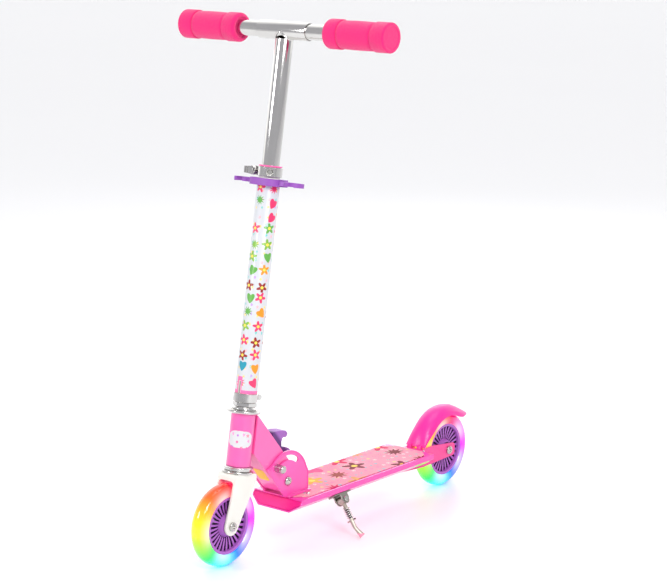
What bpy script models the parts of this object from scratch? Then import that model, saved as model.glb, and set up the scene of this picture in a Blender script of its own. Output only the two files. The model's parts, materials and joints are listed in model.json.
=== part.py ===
"""Folding two-wheel kick scooter for a small child, with light-up wheels and a height-adjustable T-bar.

Frame: +X is the riding direction, +Y is the rider's left, +Z is up. The origin lies on the ground midway
between the two axles. Everything that steers is modelled in the steering column's own frame (local +Z up the
column, local +X forward), which hangs on the empty "steering_axis".
"""

import math

import bmesh
import bpy
from mathutils import Matrix, Vector

MM = 0.001
GAP = 0.3 * MM  # clearance between two pieces that touch
RUN = 0.6 * MM  # clearance beside a piece that turns or slides

# Stance
WHEELBASE = 520 * MM
WHEEL_RADIUS = 60 * MM
WHEEL_WIDTH = 24 * MM
RAKE = math.radians(9)
FORK_OFFSET = 18 * MM

# Wheels
CORE_RADIUS = 41.5 * MM
HUB_RADIUS = 15.5 * MM
RIM_DEPTH = 4.5 * MM
WEB_THICKNESS = 8 * MM
FAN_SLOTS = 28
FAN_SLOT_WIDTH = 2.6 * MM
BEARING_RADIUS = 11 * MM
BEARING_WIDTH = 7 * MM
AXLE_RADIUS = 4 * MM
AXLE_HEAD_RADIUS = 6.5 * MM
AXLE_HEAD_HEIGHT = 4 * MM
MAGNET_RADIUS = 7.2 * MM

# Fork and rear fork, both pressed from sheet
SHEET = 2.8 * MM
FORK_SIDE_ROOM = 1.7 * MM
FORK_END_RADIUS = 13.5 * MM
CROWN_ROOM = 10.5 * MM
CROWN_BACK = 24 * MM
CROWN_FRONT = 22 * MM
CROWN_WALL_HEIGHT = 10 * MM

# Headset and head tube
STEERER_RADIUS = 13.7 * MM
RACE_RIM = 8.8 * MM  # how far the race and the cups stand out past the steerer
RACE_HEIGHT = 3.6 * MM
BALL_HEIGHT = 3 * MM
CUP_FLANGE = 2.4 * MM
HEAD_TUBE_ROOM = 1.8 * MM
HEAD_TUBE_WALL = 2 * MM
HEAD_TUBE_LENGTH = 75 * MM
UPPER_CUP_RIM = 10.3 * MM
CONE_WALL = 3.8 * MM
CONE_HEIGHT = 4 * MM
LOCKNUT_WALL = 1.3 * MM
LOCKNUT_HEIGHT = 5 * MM

# Steering column
STEERER_WALL = 2 * MM
STEERER_REACH = 40 * MM
TUBE_WALL = 1.2 * MM
TUBE_LENGTH = 331 * MM
TUBE_SLOT_WIDTH = 3 * MM
TUBE_SLOT_LENGTH = 29 * MM
SLEEVE_FILM = 0.5 * MM
SLEEVE_LENGTH = 293 * MM
CLAMP_WALL = 2 * MM
LOWER_CLAMP_HEIGHT = 11.5 * MM
BUSHING_FLANGE = 2 * MM

# Height clamp, its quick-release lever and the snap button
HEIGHT_CLAMP_HEIGHT = 13 * MM
CLAMP_EAR_REACH = 31 * MM
CLAMP_EAR_THICKNESS = 3 * MM
SKEWER_RADIUS = 2.5 * MM
LEVER_THICKNESS = 5 * MM
BUTTON_RADIUS = 4 * MM
BUTTON_ANGLE = math.radians(40)

# Handle holder
HOLDER_HEIGHT = 10 * MM
HOLDER_HUB_WIDTH = 48 * MM
HOLDER_ARM_HEIGHT = 6 * MM
HOLDER_CLIP_SPREAD = 94 * MM
HOLDER_CLIP_WALL = 2.8 * MM
HOLDER_MOUTH = 15 * MM

# T-bar
STEM_RADIUS = 12.6 * MM
STEM_WALL = 1.3 * MM
STEM_EXPOSED = 178 * MM
STEM_INSIDE = 88 * MM
T_SLEEVE_RADIUS = 12.7 * MM
T_SLEEVE_LENGTH = 88 * MM
BAR_RADIUS = 11 * MM
BAR_WALL = 1.2 * MM
HANDLEBAR_WIDTH = 372 * MM
GRIP_LENGTH = 106 * MM
GRIP_RADIUS = 21 * MM
GRIP_WAIST = 20 * MM
GRIP_BAND = 24 * MM
GRIP_CAP = 6 * MM

# Deck
DECK_RISE = 16 * MM  # the deck's top above the axles
DECK_DEPTH = 19 * MM
DECK_HALF_WIDTH = 46 * MM
DECK_BOTTOM_HALF = 29.5 * MM
DECK_LIP = 8 * MM
DECK_WALL = 2 * MM
DECK_NOSE = 11.5 * MM
FRONT_TURN_ROOM = 23 * MM
REAR_WHEEL_ROOM = 20 * MM
GRIP_SHEET = 0.8 * MM
GRIP_SHEET_MARGIN = 4 * MM

# Folding hinge between the deck and the neck
PIVOT_RISE = 25 * MM
PIVOT_SETBACK = 3 * MM
PIVOT_RADIUS = 4 * MM
BRACKET_HALF = 19.5 * MM
BRACKET_WALL = 2.5 * MM
BRACKET_RADIUS = 45 * MM
BRACKET_BACK = 47 * MM
BRACKET_FLANGE = 6 * MM
NECK_ANGLE = math.radians(49.5)
NECK_ABOVE = 24.5 * MM
NECK_BELOW = 17.6 * MM
NECK_WALL = 2.5 * MM
FOLD_ANGLE = math.radians(81)
LOCK_RADIUS = 33.6 * MM
LOCK_LIFT = 2 * MM
LOCK_PIN_RADIUS = 2.5 * MM
LOCK_ANGLE = math.radians(46)
ROLLER_RADIUS = 6 * MM
ROLLER_LENGTH = 10 * MM
LOCK_HEAD_RADIUS = 5.8 * MM
LOCK_HEAD_HEIGHT = 3.5 * MM
LEVER_PIVOT_ALONG = 36 * MM
LEVER_PIVOT_ABOVE = 10 * MM
LEVER_PIN_RADIUS = 2 * MM
LEVER_HALF_WIDTH = 9 * MM

# Fender brake
FENDER_CLEARANCE = 10.3 * MM
FENDER_SHEET = 1.7 * MM
FENDER_HALF_WIDTH = 19 * MM
FENDER_DEPTH = 15 * MM
FENDER_TAIL_RISE = 5 * MM
FENDER_PIN_ROOM = 8.8 * MM
FENDER_PIN_RADIUS = 2 * MM
FENDER_KNUCKLE = 4.3 * MM

# Kickstand, on the slanted left side of the deck
STAND_FROM_FRONT = 95 * MM
STAND_SHEET = 2 * MM
STAND_BASE_LENGTH = 36 * MM
STAND_BASE_WIDTH = 16 * MM
STAND_PIVOT_HEIGHT = 10.5 * MM
STAND_ROD_RADIUS = 3 * MM
STAND_LENGTH = 52 * MM
STAND_PIN_RADIUS = 2.5 * MM
STAND_EYE_RADIUS = 6.2 * MM
STAND_SPRING_WIRE = 0.9 * MM

# Sizes that follow from the ones above
FORK_INNER = WHEEL_WIDTH / 2 + FORK_SIDE_ROOM
FORK_OUTER = FORK_INNER + SHEET
TUBE_INNER = STEERER_RADIUS + GAP
TUBE_RADIUS = TUBE_INNER + TUBE_WALL
SLEEVE_RADIUS = TUBE_RADIUS + GAP + SLEEVE_FILM
RACE_RADIUS = STEERER_RADIUS + RACE_RIM
HEAD_TUBE_RADIUS = STEERER_RADIUS + HEAD_TUBE_ROOM + HEAD_TUBE_WALL
UPPER_CUP_RADIUS = STEERER_RADIUS + UPPER_CUP_RIM
CONE_RADIUS = STEERER_RADIUS + CONE_WALL
LOCKNUT_FLATS = 2 * (STEERER_RADIUS + LOCKNUT_WALL)

CROWN_TOP = WHEEL_RADIUS + CROWN_ROOM + SHEET
RACE_TOP = CROWN_TOP + GAP + RACE_HEIGHT
LOWER_BALL_TOP = RACE_TOP + GAP + BALL_HEIGHT
HEAD_BOTTOM = LOWER_BALL_TOP + GAP + CUP_FLANGE + GAP
HEAD_TOP = HEAD_BOTTOM + HEAD_TUBE_LENGTH
UPPER_CUP_BASE = HEAD_TOP + GAP
UPPER_BALL_TOP = UPPER_CUP_BASE + CUP_FLANGE + GAP + BALL_HEIGHT
CONE_TOP = UPPER_BALL_TOP + GAP + CONE_HEIGHT
LOCKNUT_TOP = CONE_TOP + GAP + LOCKNUT_HEIGHT
TUBE_BOTTOM = LOCKNUT_TOP + 1.5 * MM
TUBE_TOP = TUBE_BOTTOM + TUBE_LENGTH
LOWER_CLAMP_TOP = TUBE_BOTTOM + LOWER_CLAMP_HEIGHT
SLEEVE_BOTTOM = LOWER_CLAMP_TOP + GAP
SLEEVE_TOP = SLEEVE_BOTTOM + SLEEVE_LENGTH
HOLDER_BOTTOM = SLEEVE_TOP + GAP
HEIGHT_CLAMP_TOP = TUBE_TOP - GAP
HEIGHT_CLAMP_BOTTOM = HEIGHT_CLAMP_TOP - HEIGHT_CLAMP_HEIGHT
BUTTON_HEIGHT = HEIGHT_CLAMP_BOTTOM + HEIGHT_CLAMP_HEIGHT / 2
BUSHING_TOP = TUBE_TOP + GAP + BUSHING_FLANGE
T_HEIGHT = TUBE_TOP + STEM_EXPOSED + T_SLEEVE_RADIUS
STEM_BOTTOM = TUBE_TOP - STEM_INSIDE

FRONT_AXLE_X = WHEELBASE / 2
REAR_AXLE_X = -WHEELBASE / 2
DECK_FRONT = FRONT_AXLE_X - WHEEL_RADIUS - 2 * FORK_OFFSET - FRONT_TURN_ROOM
DECK_REAR = REAR_AXLE_X + WHEEL_RADIUS + REAR_WHEEL_ROOM
DECK_TOP = WHEEL_RADIUS + DECK_RISE
DECK_BOTTOM = DECK_TOP - DECK_DEPTH
DECK_LIP_BOTTOM = DECK_TOP - DECK_LIP
PIVOT = (DECK_FRONT + PIVOT_SETBACK, DECK_TOP + PIVOT_RISE)
BRACKET_INNER = BRACKET_HALF - BRACKET_WALL
NECK_HALF = BRACKET_INNER - RUN
ARC_BAND = (LOCK_RADIUS - LOCK_PIN_RADIUS - GAP, LOCK_RADIUS + LOCK_LIFT + LOCK_PIN_RADIUS + GAP)
FENDER_PIN_X = REAR_AXLE_X + WHEEL_RADIUS + FENDER_PIN_ROOM
FENDER_PIN_Z = DECK_TOP - 5.5 * MM
REAR_WEB_X = FENDER_PIN_X + FENDER_KNUCKLE + 0.9 * MM

AHEAD_OF_COLUMN = Vector((math.cos(RAKE), 0, math.sin(RAKE)))
COLUMN_FOOT = Vector((FRONT_AXLE_X, 0, WHEEL_RADIUS)) - AHEAD_OF_COLUMN * FORK_OFFSET

PINK = (1.0, 0.16, 0.47, 1)
HOT_PINK = (1.0, 0.02, 0.30, 1)
PALE_PINK = (0.93, 0.49, 0.57, 1)
PURPLE = (0.38, 0.13, 0.60, 1)
WHITE = (0.85, 0.85, 0.80, 1)
CHROME = (0.80, 0.80, 0.80, 1)
STEEL = (0.52, 0.52, 0.50, 1)
BRASS = (0.62, 0.42, 0.16, 1)
CLEAR_TYRE = (0.80, 0.90, 1.0, 1)
GLOW = (0.10, 0.75, 0.95, 1)

PLANES = {"XZ": (0, 2, 1), "XY": (0, 1, 2), "YZ": (1, 2, 0)}  # a plane's two axes and its normal
ALONG_Y = (-math.pi / 2, 0, 0)  # turns a piece's own Z onto +Y


# Materials, parents and basic shapes


def painted(name, colour, roughness=0.35, metallic=0.0):
    """A plain material in the piece's own colour."""
    material = bpy.data.materials.new(name)
    material.use_nodes = True
    shader = material.node_tree.nodes["Principled BSDF"]
    shader.inputs["Base Color"].default_value = colour
    shader.inputs["Roughness"].default_value = roughness
    shader.inputs["Metallic"].default_value = metallic
    return material


def empty(name, location, rotation=(0, 0, 0), parent=None):
    """A joint's axis or a sub-assembly's frame."""
    frame = bpy.data.objects.new(name, None)
    frame.location = location
    frame.rotation_euler = rotation
    frame.parent = parent
    bpy.context.scene.collection.objects.link(frame)
    return frame


def finish(name, bm, look, parent=None, location=(0, 0, 0), rotation=(0, 0, 0)):
    """Turns a bmesh into a closed, outward-facing object of one piece."""
    bmesh.ops.remove_doubles(bm, verts=bm.verts, dist=1e-6)
    bmesh.ops.recalc_face_normals(bm, faces=bm.faces)
    mesh = bpy.data.meshes.new(name)
    bm.to_mesh(mesh)
    bm.free()
    mesh.shade_smooth()
    mesh.set_sharp_from_angle(angle=math.radians(38))
    piece = bpy.data.objects.new(name, mesh)
    if look:
        mesh.materials.append(look)
    piece.parent = parent
    piece.location = location
    piece.rotation_euler = rotation
    bpy.context.scene.collection.objects.link(piece)
    return piece


def turned(name, profile, segments, look, **place):
    """A body of revolution about local Z. The profile's (radius, height) points run round its section."""
    bm = bmesh.new()
    rings = []
    for radius, height in profile:
        if radius < 1e-9:
            rings.append([bm.verts.new((0, 0, height))] * segments)
            continue
        turn = [2 * math.pi * i / segments for i in range(segments)]
        rings.append([bm.verts.new((radius * math.cos(a), radius * math.sin(a), height)) for a in turn])
    for low, high in zip(rings, rings[1:] + rings[:1]):
        for i in range(segments):
            j = (i + 1) % segments
            corners = list(dict.fromkeys((low[i], low[j], high[j], high[i])))
            if len(corners) > 2:
                bm.faces.new(corners)
    return finish(name, bm, look, **place)


def ring(name, inner, outer, low, high, segments, look, **place):
    """A plain tube or washer about local Z."""
    profile = [(inner, low), (outer, low), (outer, high), (inner, high)]
    return turned(name, profile, segments, look, **place)


def extruded(name, outlines, low, high, plane, look, **place):
    """A flat plate. The first outline is its edge, the others are holes; it spans low to high across."""
    first, second, across = PLANES[plane]
    bm = bmesh.new()
    edges = []
    for outline in outlines:
        corners = []
        for u, v in outline:
            spot = [0, 0, 0]
            spot[first], spot[second], spot[across] = u, v, low
            corners.append(bm.verts.new(spot))
        edges += [bm.edges.new(pair) for pair in zip(corners, corners[1:] + corners[:1])]
    bmesh.ops.triangle_fill(bm, use_beauty=True, edges=edges)
    raised = bmesh.ops.extrude_face_region(bm, geom=list(bm.faces))["geom"]
    lift = [0, 0, 0]
    lift[across] = high - low
    bmesh.ops.translate(bm, vec=lift, verts=[v for v in raised if isinstance(v, bmesh.types.BMVert)])
    return finish(name, bm, look, **place)


def block(name, low, high, look=None, **place):
    """A box between two opposite corners."""
    bm = bmesh.new()
    bmesh.ops.create_cube(bm, size=1)
    size = Vector(high) - Vector(low)
    middle = (Vector(high) + Vector(low)) / 2
    bmesh.ops.transform(bm, matrix=Matrix.Translation(middle) @ Matrix.Diagonal((*size, 1)), verts=bm.verts)
    return finish(name, bm, look, **place)


def swept(name, route, radius, look, sides=3, parent=None, location=(0, 0, 0), rotation=(0, 0, 0)):
    """A round wire or rod with capped ends along a route of points."""
    curve = bpy.data.curves.new(name, "CURVE")
    curve.dimensions = "3D"
    curve.bevel_depth = radius
    curve.bevel_resolution = sides
    curve.use_fill_caps = True
    spline = curve.splines.new("POLY")
    spline.points.add(len(route) - 1)
    for point, spot in zip(spline.points, route):
        point.co = (*spot, 1)
    curve.materials.append(look)
    rod = bpy.data.objects.new(name, curve)
    rod.parent = parent
    rod.location = location
    rod.rotation_euler = rotation
    bpy.context.scene.collection.objects.link(rod)
    return rod


def helix(radius, low, high, turns, per_turn=8):
    """Points along a coil about local Z."""
    count = int(turns * per_turn)
    steps = [i / count for i in range(count + 1)]
    return [
        (
            radius * math.cos(2 * math.pi * turns * t),
            radius * math.sin(2 * math.pi * turns * t),
            low + (high - low) * t,
        )
        for t in steps
    ]


def combine(target, tool, operation):
    """Cuts a tool out of a piece, or welds it on, and hides the tool."""
    change = target.modifiers.new(operation.title(), "BOOLEAN")
    change.object = tool
    change.operation = operation
    change.solver = "EXACT"
    tool.hide_render = True
    tool.display_type = "WIRE"
    return target


def cut(target, *tools):
    for tool in tools:
        combine(target, tool, "DIFFERENCE")
    return target


def weld(target, *tools):
    for tool in tools:
        combine(target, tool, "UNION")
    return target


def rod_cutter(name, radius, low, high, segments=14, **place):
    """A plain cylinder about local Z."""
    return turned(name, [(0, low), (radius, low), (radius, high), (0, high)], segments, None, **place)


# Outlines


def arc(centre, radius, start, stop, steps):
    """Points on a circle from one angle to another, in radians."""
    angles = [start + (stop - start) * i / steps for i in range(steps + 1)]
    return [(centre[0] + radius * math.cos(a), centre[1] + radius * math.sin(a)) for a in angles]


def rounded(corners, radius, steps=3):
    """The same polygon with rounded corners. A short side gives its two corners a smaller radius."""
    outline = []
    for i, corner in enumerate(corners):
        here = Vector(corner)
        back = Vector(corners[i - 1]) - here
        ahead = Vector(corners[(i + 1) % len(corners)]) - here
        half = back.angle(ahead) / 2
        reach = min(radius / math.tan(half), back.length * 0.45, ahead.length * 0.45)
        start, stop = here + back.normalized() * reach, here + ahead.normalized() * reach
        for step in range(steps + 1):
            t = step / steps
            outline.append(tuple(start * (1 - t) ** 2 + here * 2 * t * (1 - t) + stop * t**2))
    return outline


def tangent_angle(point, centre, radius, side):
    """The angle on a circle where a line from an outside point touches it, on its left (1) or right (-1)."""
    away = Vector(point) - Vector(centre)
    return math.atan2(away.y, away.x) + side * math.acos(radius / away.length)


# Wheels, the same at both ends


def wheel(end, frame):
    """Tyre, fan core, two bearings and the light ring, centred on the wheel's own frame, about Z."""
    half = WHEEL_WIDTH / 2
    crown = CORE_RADIUS + GAP
    tread = WHEEL_RADIUS - crown
    tyre_profile = [(crown, -half), (crown + 0.55 * tread, -half)]
    for angle in (math.radians(34), math.radians(64)):
        tyre_profile.append((crown + tread * (0.55 + 0.45 * math.sin(angle)), -half * math.cos(angle)))
    tyre_profile += [(WHEEL_RADIUS, 0)] + [(r, -z) for r, z in reversed(tyre_profile)]
    turned(f"{end}_tyre", tyre_profile, 36, painted(f"{end}_tyre", CLEAR_TYRE, 0.15), **frame)

    seat = BEARING_RADIUS + GAP
    rim = CORE_RADIUS - RIM_DEPTH
    web = WEB_THICKNESS / 2
    upper = [(seat, half), (HUB_RADIUS, half), (HUB_RADIUS, web), (rim, web), (rim, half - 1.5 * MM)]
    upper += [(CORE_RADIUS, half - 1.5 * MM)]
    lower = [(r, -z) for r, z in reversed(upper)]
    core = turned(
        f"{end}_wheel_core", upper + lower, FAN_SLOTS, painted(f"{end}_core", PURPLE, 0.4), **frame
    )
    cut(core, fan_slots(end, HUB_RADIUS + 3 * MM, rim - 1.5 * MM, frame))

    for side, sign in (("left", 1), ("right", -1)):
        low, high = sorted((sign * (half - BEARING_WIDTH), sign * half))
        bore = AXLE_RADIUS + GAP
        look = painted(f"{end}_bearing_{side}", STEEL, 0.3, 1)
        ring(f"{end}_bearing_{side}", bore, BEARING_RADIUS, low, high, 14, look, **frame)

    magnet_half = half - BEARING_WIDTH - GAP
    glow = painted(f"{end}_light_ring", GLOW, 0.3)
    light_inner = MAGNET_RADIUS + RUN
    ring(
        f"{end}_light_ring", light_inner, seat - GAP,
        -magnet_half + GAP, magnet_half - GAP, 16, glow, **frame
    )
    magnet = painted(f"{end}_magnet_spacer", STEEL, 0.5, 0.6)
    ring(
        f"{end}_magnet_spacer", AXLE_RADIUS + GAP, MAGNET_RADIUS,
        -magnet_half, magnet_half, 16, magnet, **frame
    )


def fan_slots(end, inner, outer, frame):
    """The narrow radial openings of the fan, as one cutter."""
    bm = bmesh.new()
    width = FAN_SLOT_WIDTH / 2
    for i in range(FAN_SLOTS):
        corners = [(inner, -width * 0.6), (outer, -width), (outer, width), (inner, width * 0.6)]
        turn = Matrix.Rotation(2 * math.pi * i / FAN_SLOTS, 4, "Z")
        low = [bm.verts.new(turn @ Vector((x, y, -WHEEL_WIDTH))) for x, y in corners]
        high = [bm.verts.new(turn @ Vector((x, y, WHEEL_WIDTH))) for x, y in corners]
        bm.faces.new(low)
        bm.faces.new(high)
        for a in range(4):
            b = (a + 1) % 4
            bm.faces.new((low[a], low[b], high[b], high[a]))
    return finish(f"{end}_fan_slots_cutter", bm, None, **frame)


def axle(end, frame):
    """The axle bolt with its head on the left, and the nut on the right."""
    face = FORK_OUTER + GAP
    head = AXLE_HEAD_RADIUS
    top = face + AXLE_HEAD_HEIGHT
    profile = [(0, -face - 6 * MM), (AXLE_RADIUS, -face - 6 * MM), (AXLE_RADIUS, face), (head, face)]
    profile += [(head, top - MM), (head - MM, top), (0, top)]
    turned(f"{end}_axle", profile, 14, painted(f"{end}_axle", STEEL, 0.25, 1), **frame)
    nut = painted(f"{end}_axle_nut", STEEL, 0.3, 1)
    low, high = -face - 4.8 * MM, -face
    hexagon(f"{end}_axle_nut", AXLE_RADIUS + GAP, 7 * MM, low, high, nut, **frame)


def hexagon(name, bore, radius, low, high, look, **place):
    """A hexagonal nut about local Z, with a bore facetted finely enough to clear a round bolt."""
    outline = arc((0, 0), radius, 0, 2 * math.pi, 6)[:-1]
    hole = arc((0, 0), bore, 0, 2 * math.pi, 20)[:-1]
    return extruded(name, [outline, hole], low, high, "XY", look, **place)


# Fork and headset, in the column's frame


def fork(column):
    """The pressed fork: a crown, two tapering legs and an arch-cut front wall."""
    foot = (FORK_OFFSET, 0)
    front = (CROWN_FRONT, CROWN_TOP - CROWN_WALL_HEIGHT)
    back = (-CROWN_BACK, CROWN_TOP - CROWN_WALL_HEIGHT - 4 * MM)
    crown = rounded([back, (-CROWN_BACK, CROWN_TOP), (CROWN_FRONT, CROWN_TOP), front], 4 * MM)[2:-2]
    start = tangent_angle(front, foot, FORK_END_RADIUS, -1)
    stop = tangent_angle(back, foot, FORK_END_RADIUS, 1) - 2 * math.pi
    outline = crown + arc(foot, FORK_END_RADIUS, start, stop, 10)
    body = extruded(
        "fork", [outline], -FORK_OUTER, FORK_OUTER, "XZ", painted("fork", WHITE, 0.3), parent=column
    )
    low = -2 * FORK_END_RADIUS
    hollow_low = (-CROWN_BACK + SHEET, -FORK_INNER, low)
    hollow_high = (CROWN_FRONT - SHEET, FORK_INNER, CROWN_TOP - SHEET)
    hollow = block("fork_hollow_cutter", hollow_low, hollow_high, parent=column)
    arch_top = CROWN_TOP - CROWN_WALL_HEIGHT
    shape = [(-FORK_INNER, low), (-FORK_INNER, arch_top), (FORK_INNER, arch_top), (FORK_INNER, low)]
    shape = rounded(shape, 6 * MM)
    reach = 2 * (CROWN_FRONT + FORK_END_RADIUS)
    arch = extruded("fork_arch_cutter", [shape], -reach, reach, "YZ", None, parent=column)
    drill = {"parent": column, "location": (FORK_OFFSET, 0, 0), "rotation": ALONG_Y}
    bore = rod_cutter("fork_axle_cutter", AXLE_RADIUS + GAP, -2 * FORK_OUTER, 2 * FORK_OUTER, **drill)
    cut(body, hollow, arch, bore)


def headset(column):
    """Everything on the steerer from the crown race up to the lock nut, and the steerer itself."""
    bore = STEERER_RADIUS + GAP
    top = TUBE_BOTTOM + STEERER_REACH
    base = CROWN_TOP + GAP
    steel = painted("steerer_tube", STEEL, 0.35, 1)
    inner = STEERER_RADIUS - STEERER_WALL
    ring("steerer_tube", inner, STEERER_RADIUS, base, top, 20, steel, parent=column)
    race = [(bore, base), (RACE_RADIUS - MM, base), (RACE_RADIUS, base + MM), (RACE_RADIUS, RACE_TOP - MM)]
    race += [(RACE_RADIUS - MM, RACE_TOP), (bore, RACE_TOP)]
    turned("crown_race", race, 20, painted("crown_race", CHROME, 0.1, 1), parent=column)
    cone_base = UPPER_BALL_TOP + GAP
    cone = [
        (bore, cone_base), (CONE_RADIUS, cone_base), (CONE_RADIUS - 2.5 * MM, CONE_TOP), (bore, CONE_TOP)
    ]
    turned("headset_cone", cone, 20, painted("headset_cone", CHROME, 0.1, 1), parent=column)
    corner = LOCKNUT_FLATS / math.sqrt(3)
    locknut = painted("headset_locknut", CHROME, 0.12, 1)
    hexagon("headset_locknut", bore, corner, CONE_TOP + GAP, LOCKNUT_TOP, locknut, parent=column)


def cups(column):
    """The two pressed cups in the head tube and the caged balls that they hold."""
    bore = STEERER_RADIUS + RUN
    socket = HEAD_TUBE_RADIUS - HEAD_TUBE_WALL - GAP
    flange = HEAD_BOTTOM - GAP - CUP_FLANGE
    lower = [(bore, flange), (RACE_RADIUS, flange), (RACE_RADIUS, HEAD_BOTTOM - GAP)]
    lower += [(socket, HEAD_BOTTOM - GAP), (socket, HEAD_BOTTOM + 8 * MM), (bore, HEAD_BOTTOM + 8 * MM)]
    turned("lower_cup", lower, 20, painted("lower_cup", CHROME, 0.1, 1), parent=column)
    base = UPPER_CUP_BASE
    rim = base + CUP_FLANGE + 2.5 * MM
    upper = [(bore, base - 8 * MM), (socket, base - 8 * MM), (socket, base), (UPPER_CUP_RADIUS - MM, base)]
    upper += [(UPPER_CUP_RADIUS, base + MM), (UPPER_CUP_RADIUS, rim - MM), (UPPER_CUP_RADIUS - MM, rim)]
    upper += [(UPPER_CUP_RADIUS - 2.2 * MM, rim), (UPPER_CUP_RADIUS - 2.2 * MM, base + CUP_FLANGE)]
    upper += [(bore, base + CUP_FLANGE)]
    turned("upper_cup", upper, 20, painted("upper_cup", CHROME, 0.1, 1), parent=column)
    outer = CONE_RADIUS + 1.5 * MM
    ball_base = UPPER_CUP_BASE + CUP_FLANGE + GAP
    brass = painted("upper_ball_ring", BRASS, 0.3, 1)
    ring("upper_ball_ring", bore, outer, ball_base, UPPER_BALL_TOP, 20, brass, parent=column)
    brass = painted("lower_ball_ring", BRASS, 0.3, 1)
    ring("lower_ball_ring", bore, outer, RACE_TOP + GAP, LOWER_BALL_TOP, 20, brass, parent=column)


# Steering column, in the column's frame


def column_tube(column):
    """The lower tube with its clamping slot, and the printed film round it."""
    tube = painted("lower_tube", WHITE, 0.3)
    body = ring("lower_tube", TUBE_INNER, TUBE_RADIUS, TUBE_BOTTOM, TUBE_TOP, 20, tube, parent=column)
    slot_top = TUBE_BOTTOM + TUBE_SLOT_LENGTH
    half = TUBE_SLOT_WIDTH / 2
    slot = block("tube_slot_cutter", (0, -half, 0), (2 * TUBE_RADIUS, half, slot_top), parent=column)
    hole = rod_cutter("tube_button_cutter", BUTTON_RADIUS + GAP, 0, 2 * TUBE_RADIUS, **button_place(column))
    cut(body, slot, hole)
    film = painted("printed_sleeve", (0.86, 0.87, 0.89, 1), 0.35)
    inner = SLEEVE_RADIUS - SLEEVE_FILM
    sleeve = ring("printed_sleeve", inner, SLEEVE_RADIUS, SLEEVE_BOTTOM, SLEEVE_TOP, 20, film, parent=column)
    notch_top = slot_top + MM
    half += MM
    notch = block("sleeve_notch_cutter", (0, -half, 0), (2 * TUBE_RADIUS, half, notch_top), parent=column)
    cut(sleeve, notch)


def button_place(column):
    """The snap button's frame: local Z points out of the column through the clamp's window."""
    return {
        "parent": column,
        "location": (0, 0, BUTTON_HEIGHT),
        "rotation": (0, math.pi / 2, BUTTON_ANGLE),
    }


def lower_clamp(column):
    """The split band that grips the tube onto the steerer, with its ears behind and its cross bolt."""
    inner = TUBE_RADIUS + GAP
    outer = inner + CLAMP_WALL
    low, high = TUBE_BOTTOM, LOWER_CLAMP_TOP
    band = ring(
        "lower_clamp", inner, outer, low, high, 20, painted("lower_clamp", CHROME, 0.2, 1), parent=column
    )
    slit = 1.5 * MM
    ear = slit + 2.5 * MM
    reach = outer + 9 * MM
    ears = block("lower_clamp_ears", (-reach, -ear, low + MM), (-inner - MM, ear, high - MM), parent=column)
    gap = block("lower_clamp_slit_cutter", (-2 * reach, -slit, 0), (0, slit, 2 * high), parent=column)
    middle = (-outer - 4.5 * MM, 0, (low + high) / 2)
    place = {"parent": column, "location": middle, "rotation": ALONG_Y}
    bore = rod_cutter("lower_clamp_bolt_cutter", 2 * MM + GAP, -2 * ear, 2 * ear, 12, **place)
    weld(band, ears)
    cut(band, gap, bore)
    head = ear + GAP
    shape = [(0, -ear - 2 * MM), (2 * MM, -ear - 2 * MM), (2 * MM, head), (4 * MM, head)]
    shape += [(4 * MM, head + 4 * MM), (0, head + 4 * MM)]
    turned("lower_clamp_bolt", shape, 12, painted("lower_clamp_bolt", CHROME, 0.2, 1), **place)


def height_clamp(column):
    """The quick-release collar round the top of the tube, its skewer and the plastic bushing above."""
    inner = TUBE_RADIUS + GAP
    outer = inner + CLAMP_WALL
    low, high = HEIGHT_CLAMP_BOTTOM, HEIGHT_CLAMP_TOP
    chrome = painted("height_clamp", CHROME, 0.2, 1)
    band = ring("height_clamp", inner, outer, low, high, 20, chrome, parent=column)
    slit = 1.8 * MM
    ear = slit + CLAMP_EAR_THICKNESS
    ears = block("height_clamp_ears", (-ear, -CLAMP_EAR_REACH, low), (ear, -inner - MM, high), parent=column)
    boss_place = button_place(column)
    boss_place["rotation"] = (0, 0, BUTTON_ANGLE)
    half = BUTTON_RADIUS + 2.2 * MM
    boss_low = (inner + 0.5 * MM, -half, low - BUTTON_HEIGHT)
    boss = block("height_clamp_boss", boss_low, (outer + 1.2 * MM, half, high - BUTTON_HEIGHT), **boss_place)
    gap = block(
        "height_clamp_slit_cutter", (-slit, -2 * CLAMP_EAR_REACH, 0), (slit, 0, 2 * high), parent=column
    )
    window = rod_cutter(
        "height_window_cutter", BUTTON_RADIUS + 0.8 * MM, 0, 2 * outer, **button_place(column)
    )
    skewer_y = -(outer + CLAMP_EAR_REACH) / 2
    middle = (low + high) / 2
    place = {"parent": column, "location": (0, skewer_y, middle), "rotation": (0, math.pi / 2, 0)}
    bore = rod_cutter("height_skewer_cutter", SKEWER_RADIUS + GAP, -2 * ear, 2 * ear, 12, **place)
    weld(band, ears, boss)
    cut(band, gap, window, bore)

    end = ear + GAP
    head = 4.6 * MM
    tip = end + RUN + LEVER_THICKNESS + GAP
    shape = [(0, -end - 4 * MM), (head, -end - 4 * MM), (head, -end), (SKEWER_RADIUS, -end)]
    shape += [(SKEWER_RADIUS, tip), (3.6 * MM, tip), (3.6 * MM, tip + 2 * MM), (0, tip + 2 * MM)]
    turned("clamp_skewer", shape, 12, painted("clamp_skewer", CHROME, 0.2, 1), **place)

    lever_frame = empty("quick_release_axis", (end + RUN, skewer_y, middle), parent=column)
    quick_release_lever(lever_frame, high - low)

    flange = TUBE_TOP + GAP
    bore_radius = STEM_RADIUS + GAP
    neck = TUBE_INNER - GAP
    shape = [(bore_radius, flange - 20 * MM), (neck, flange - 20 * MM), (neck, flange), (outer - MM, flange)]
    shape += [(outer - MM, BUSHING_TOP), (bore_radius, BUSHING_TOP)]
    bushing = turned("height_bushing", shape, 20, painted("height_bushing", PINK, 0.4), parent=column)
    cut(
        bushing,
        rod_cutter("bushing_button_cutter", BUTTON_RADIUS + GAP, 0, 2 * outer, **button_place(column))
    )


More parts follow.
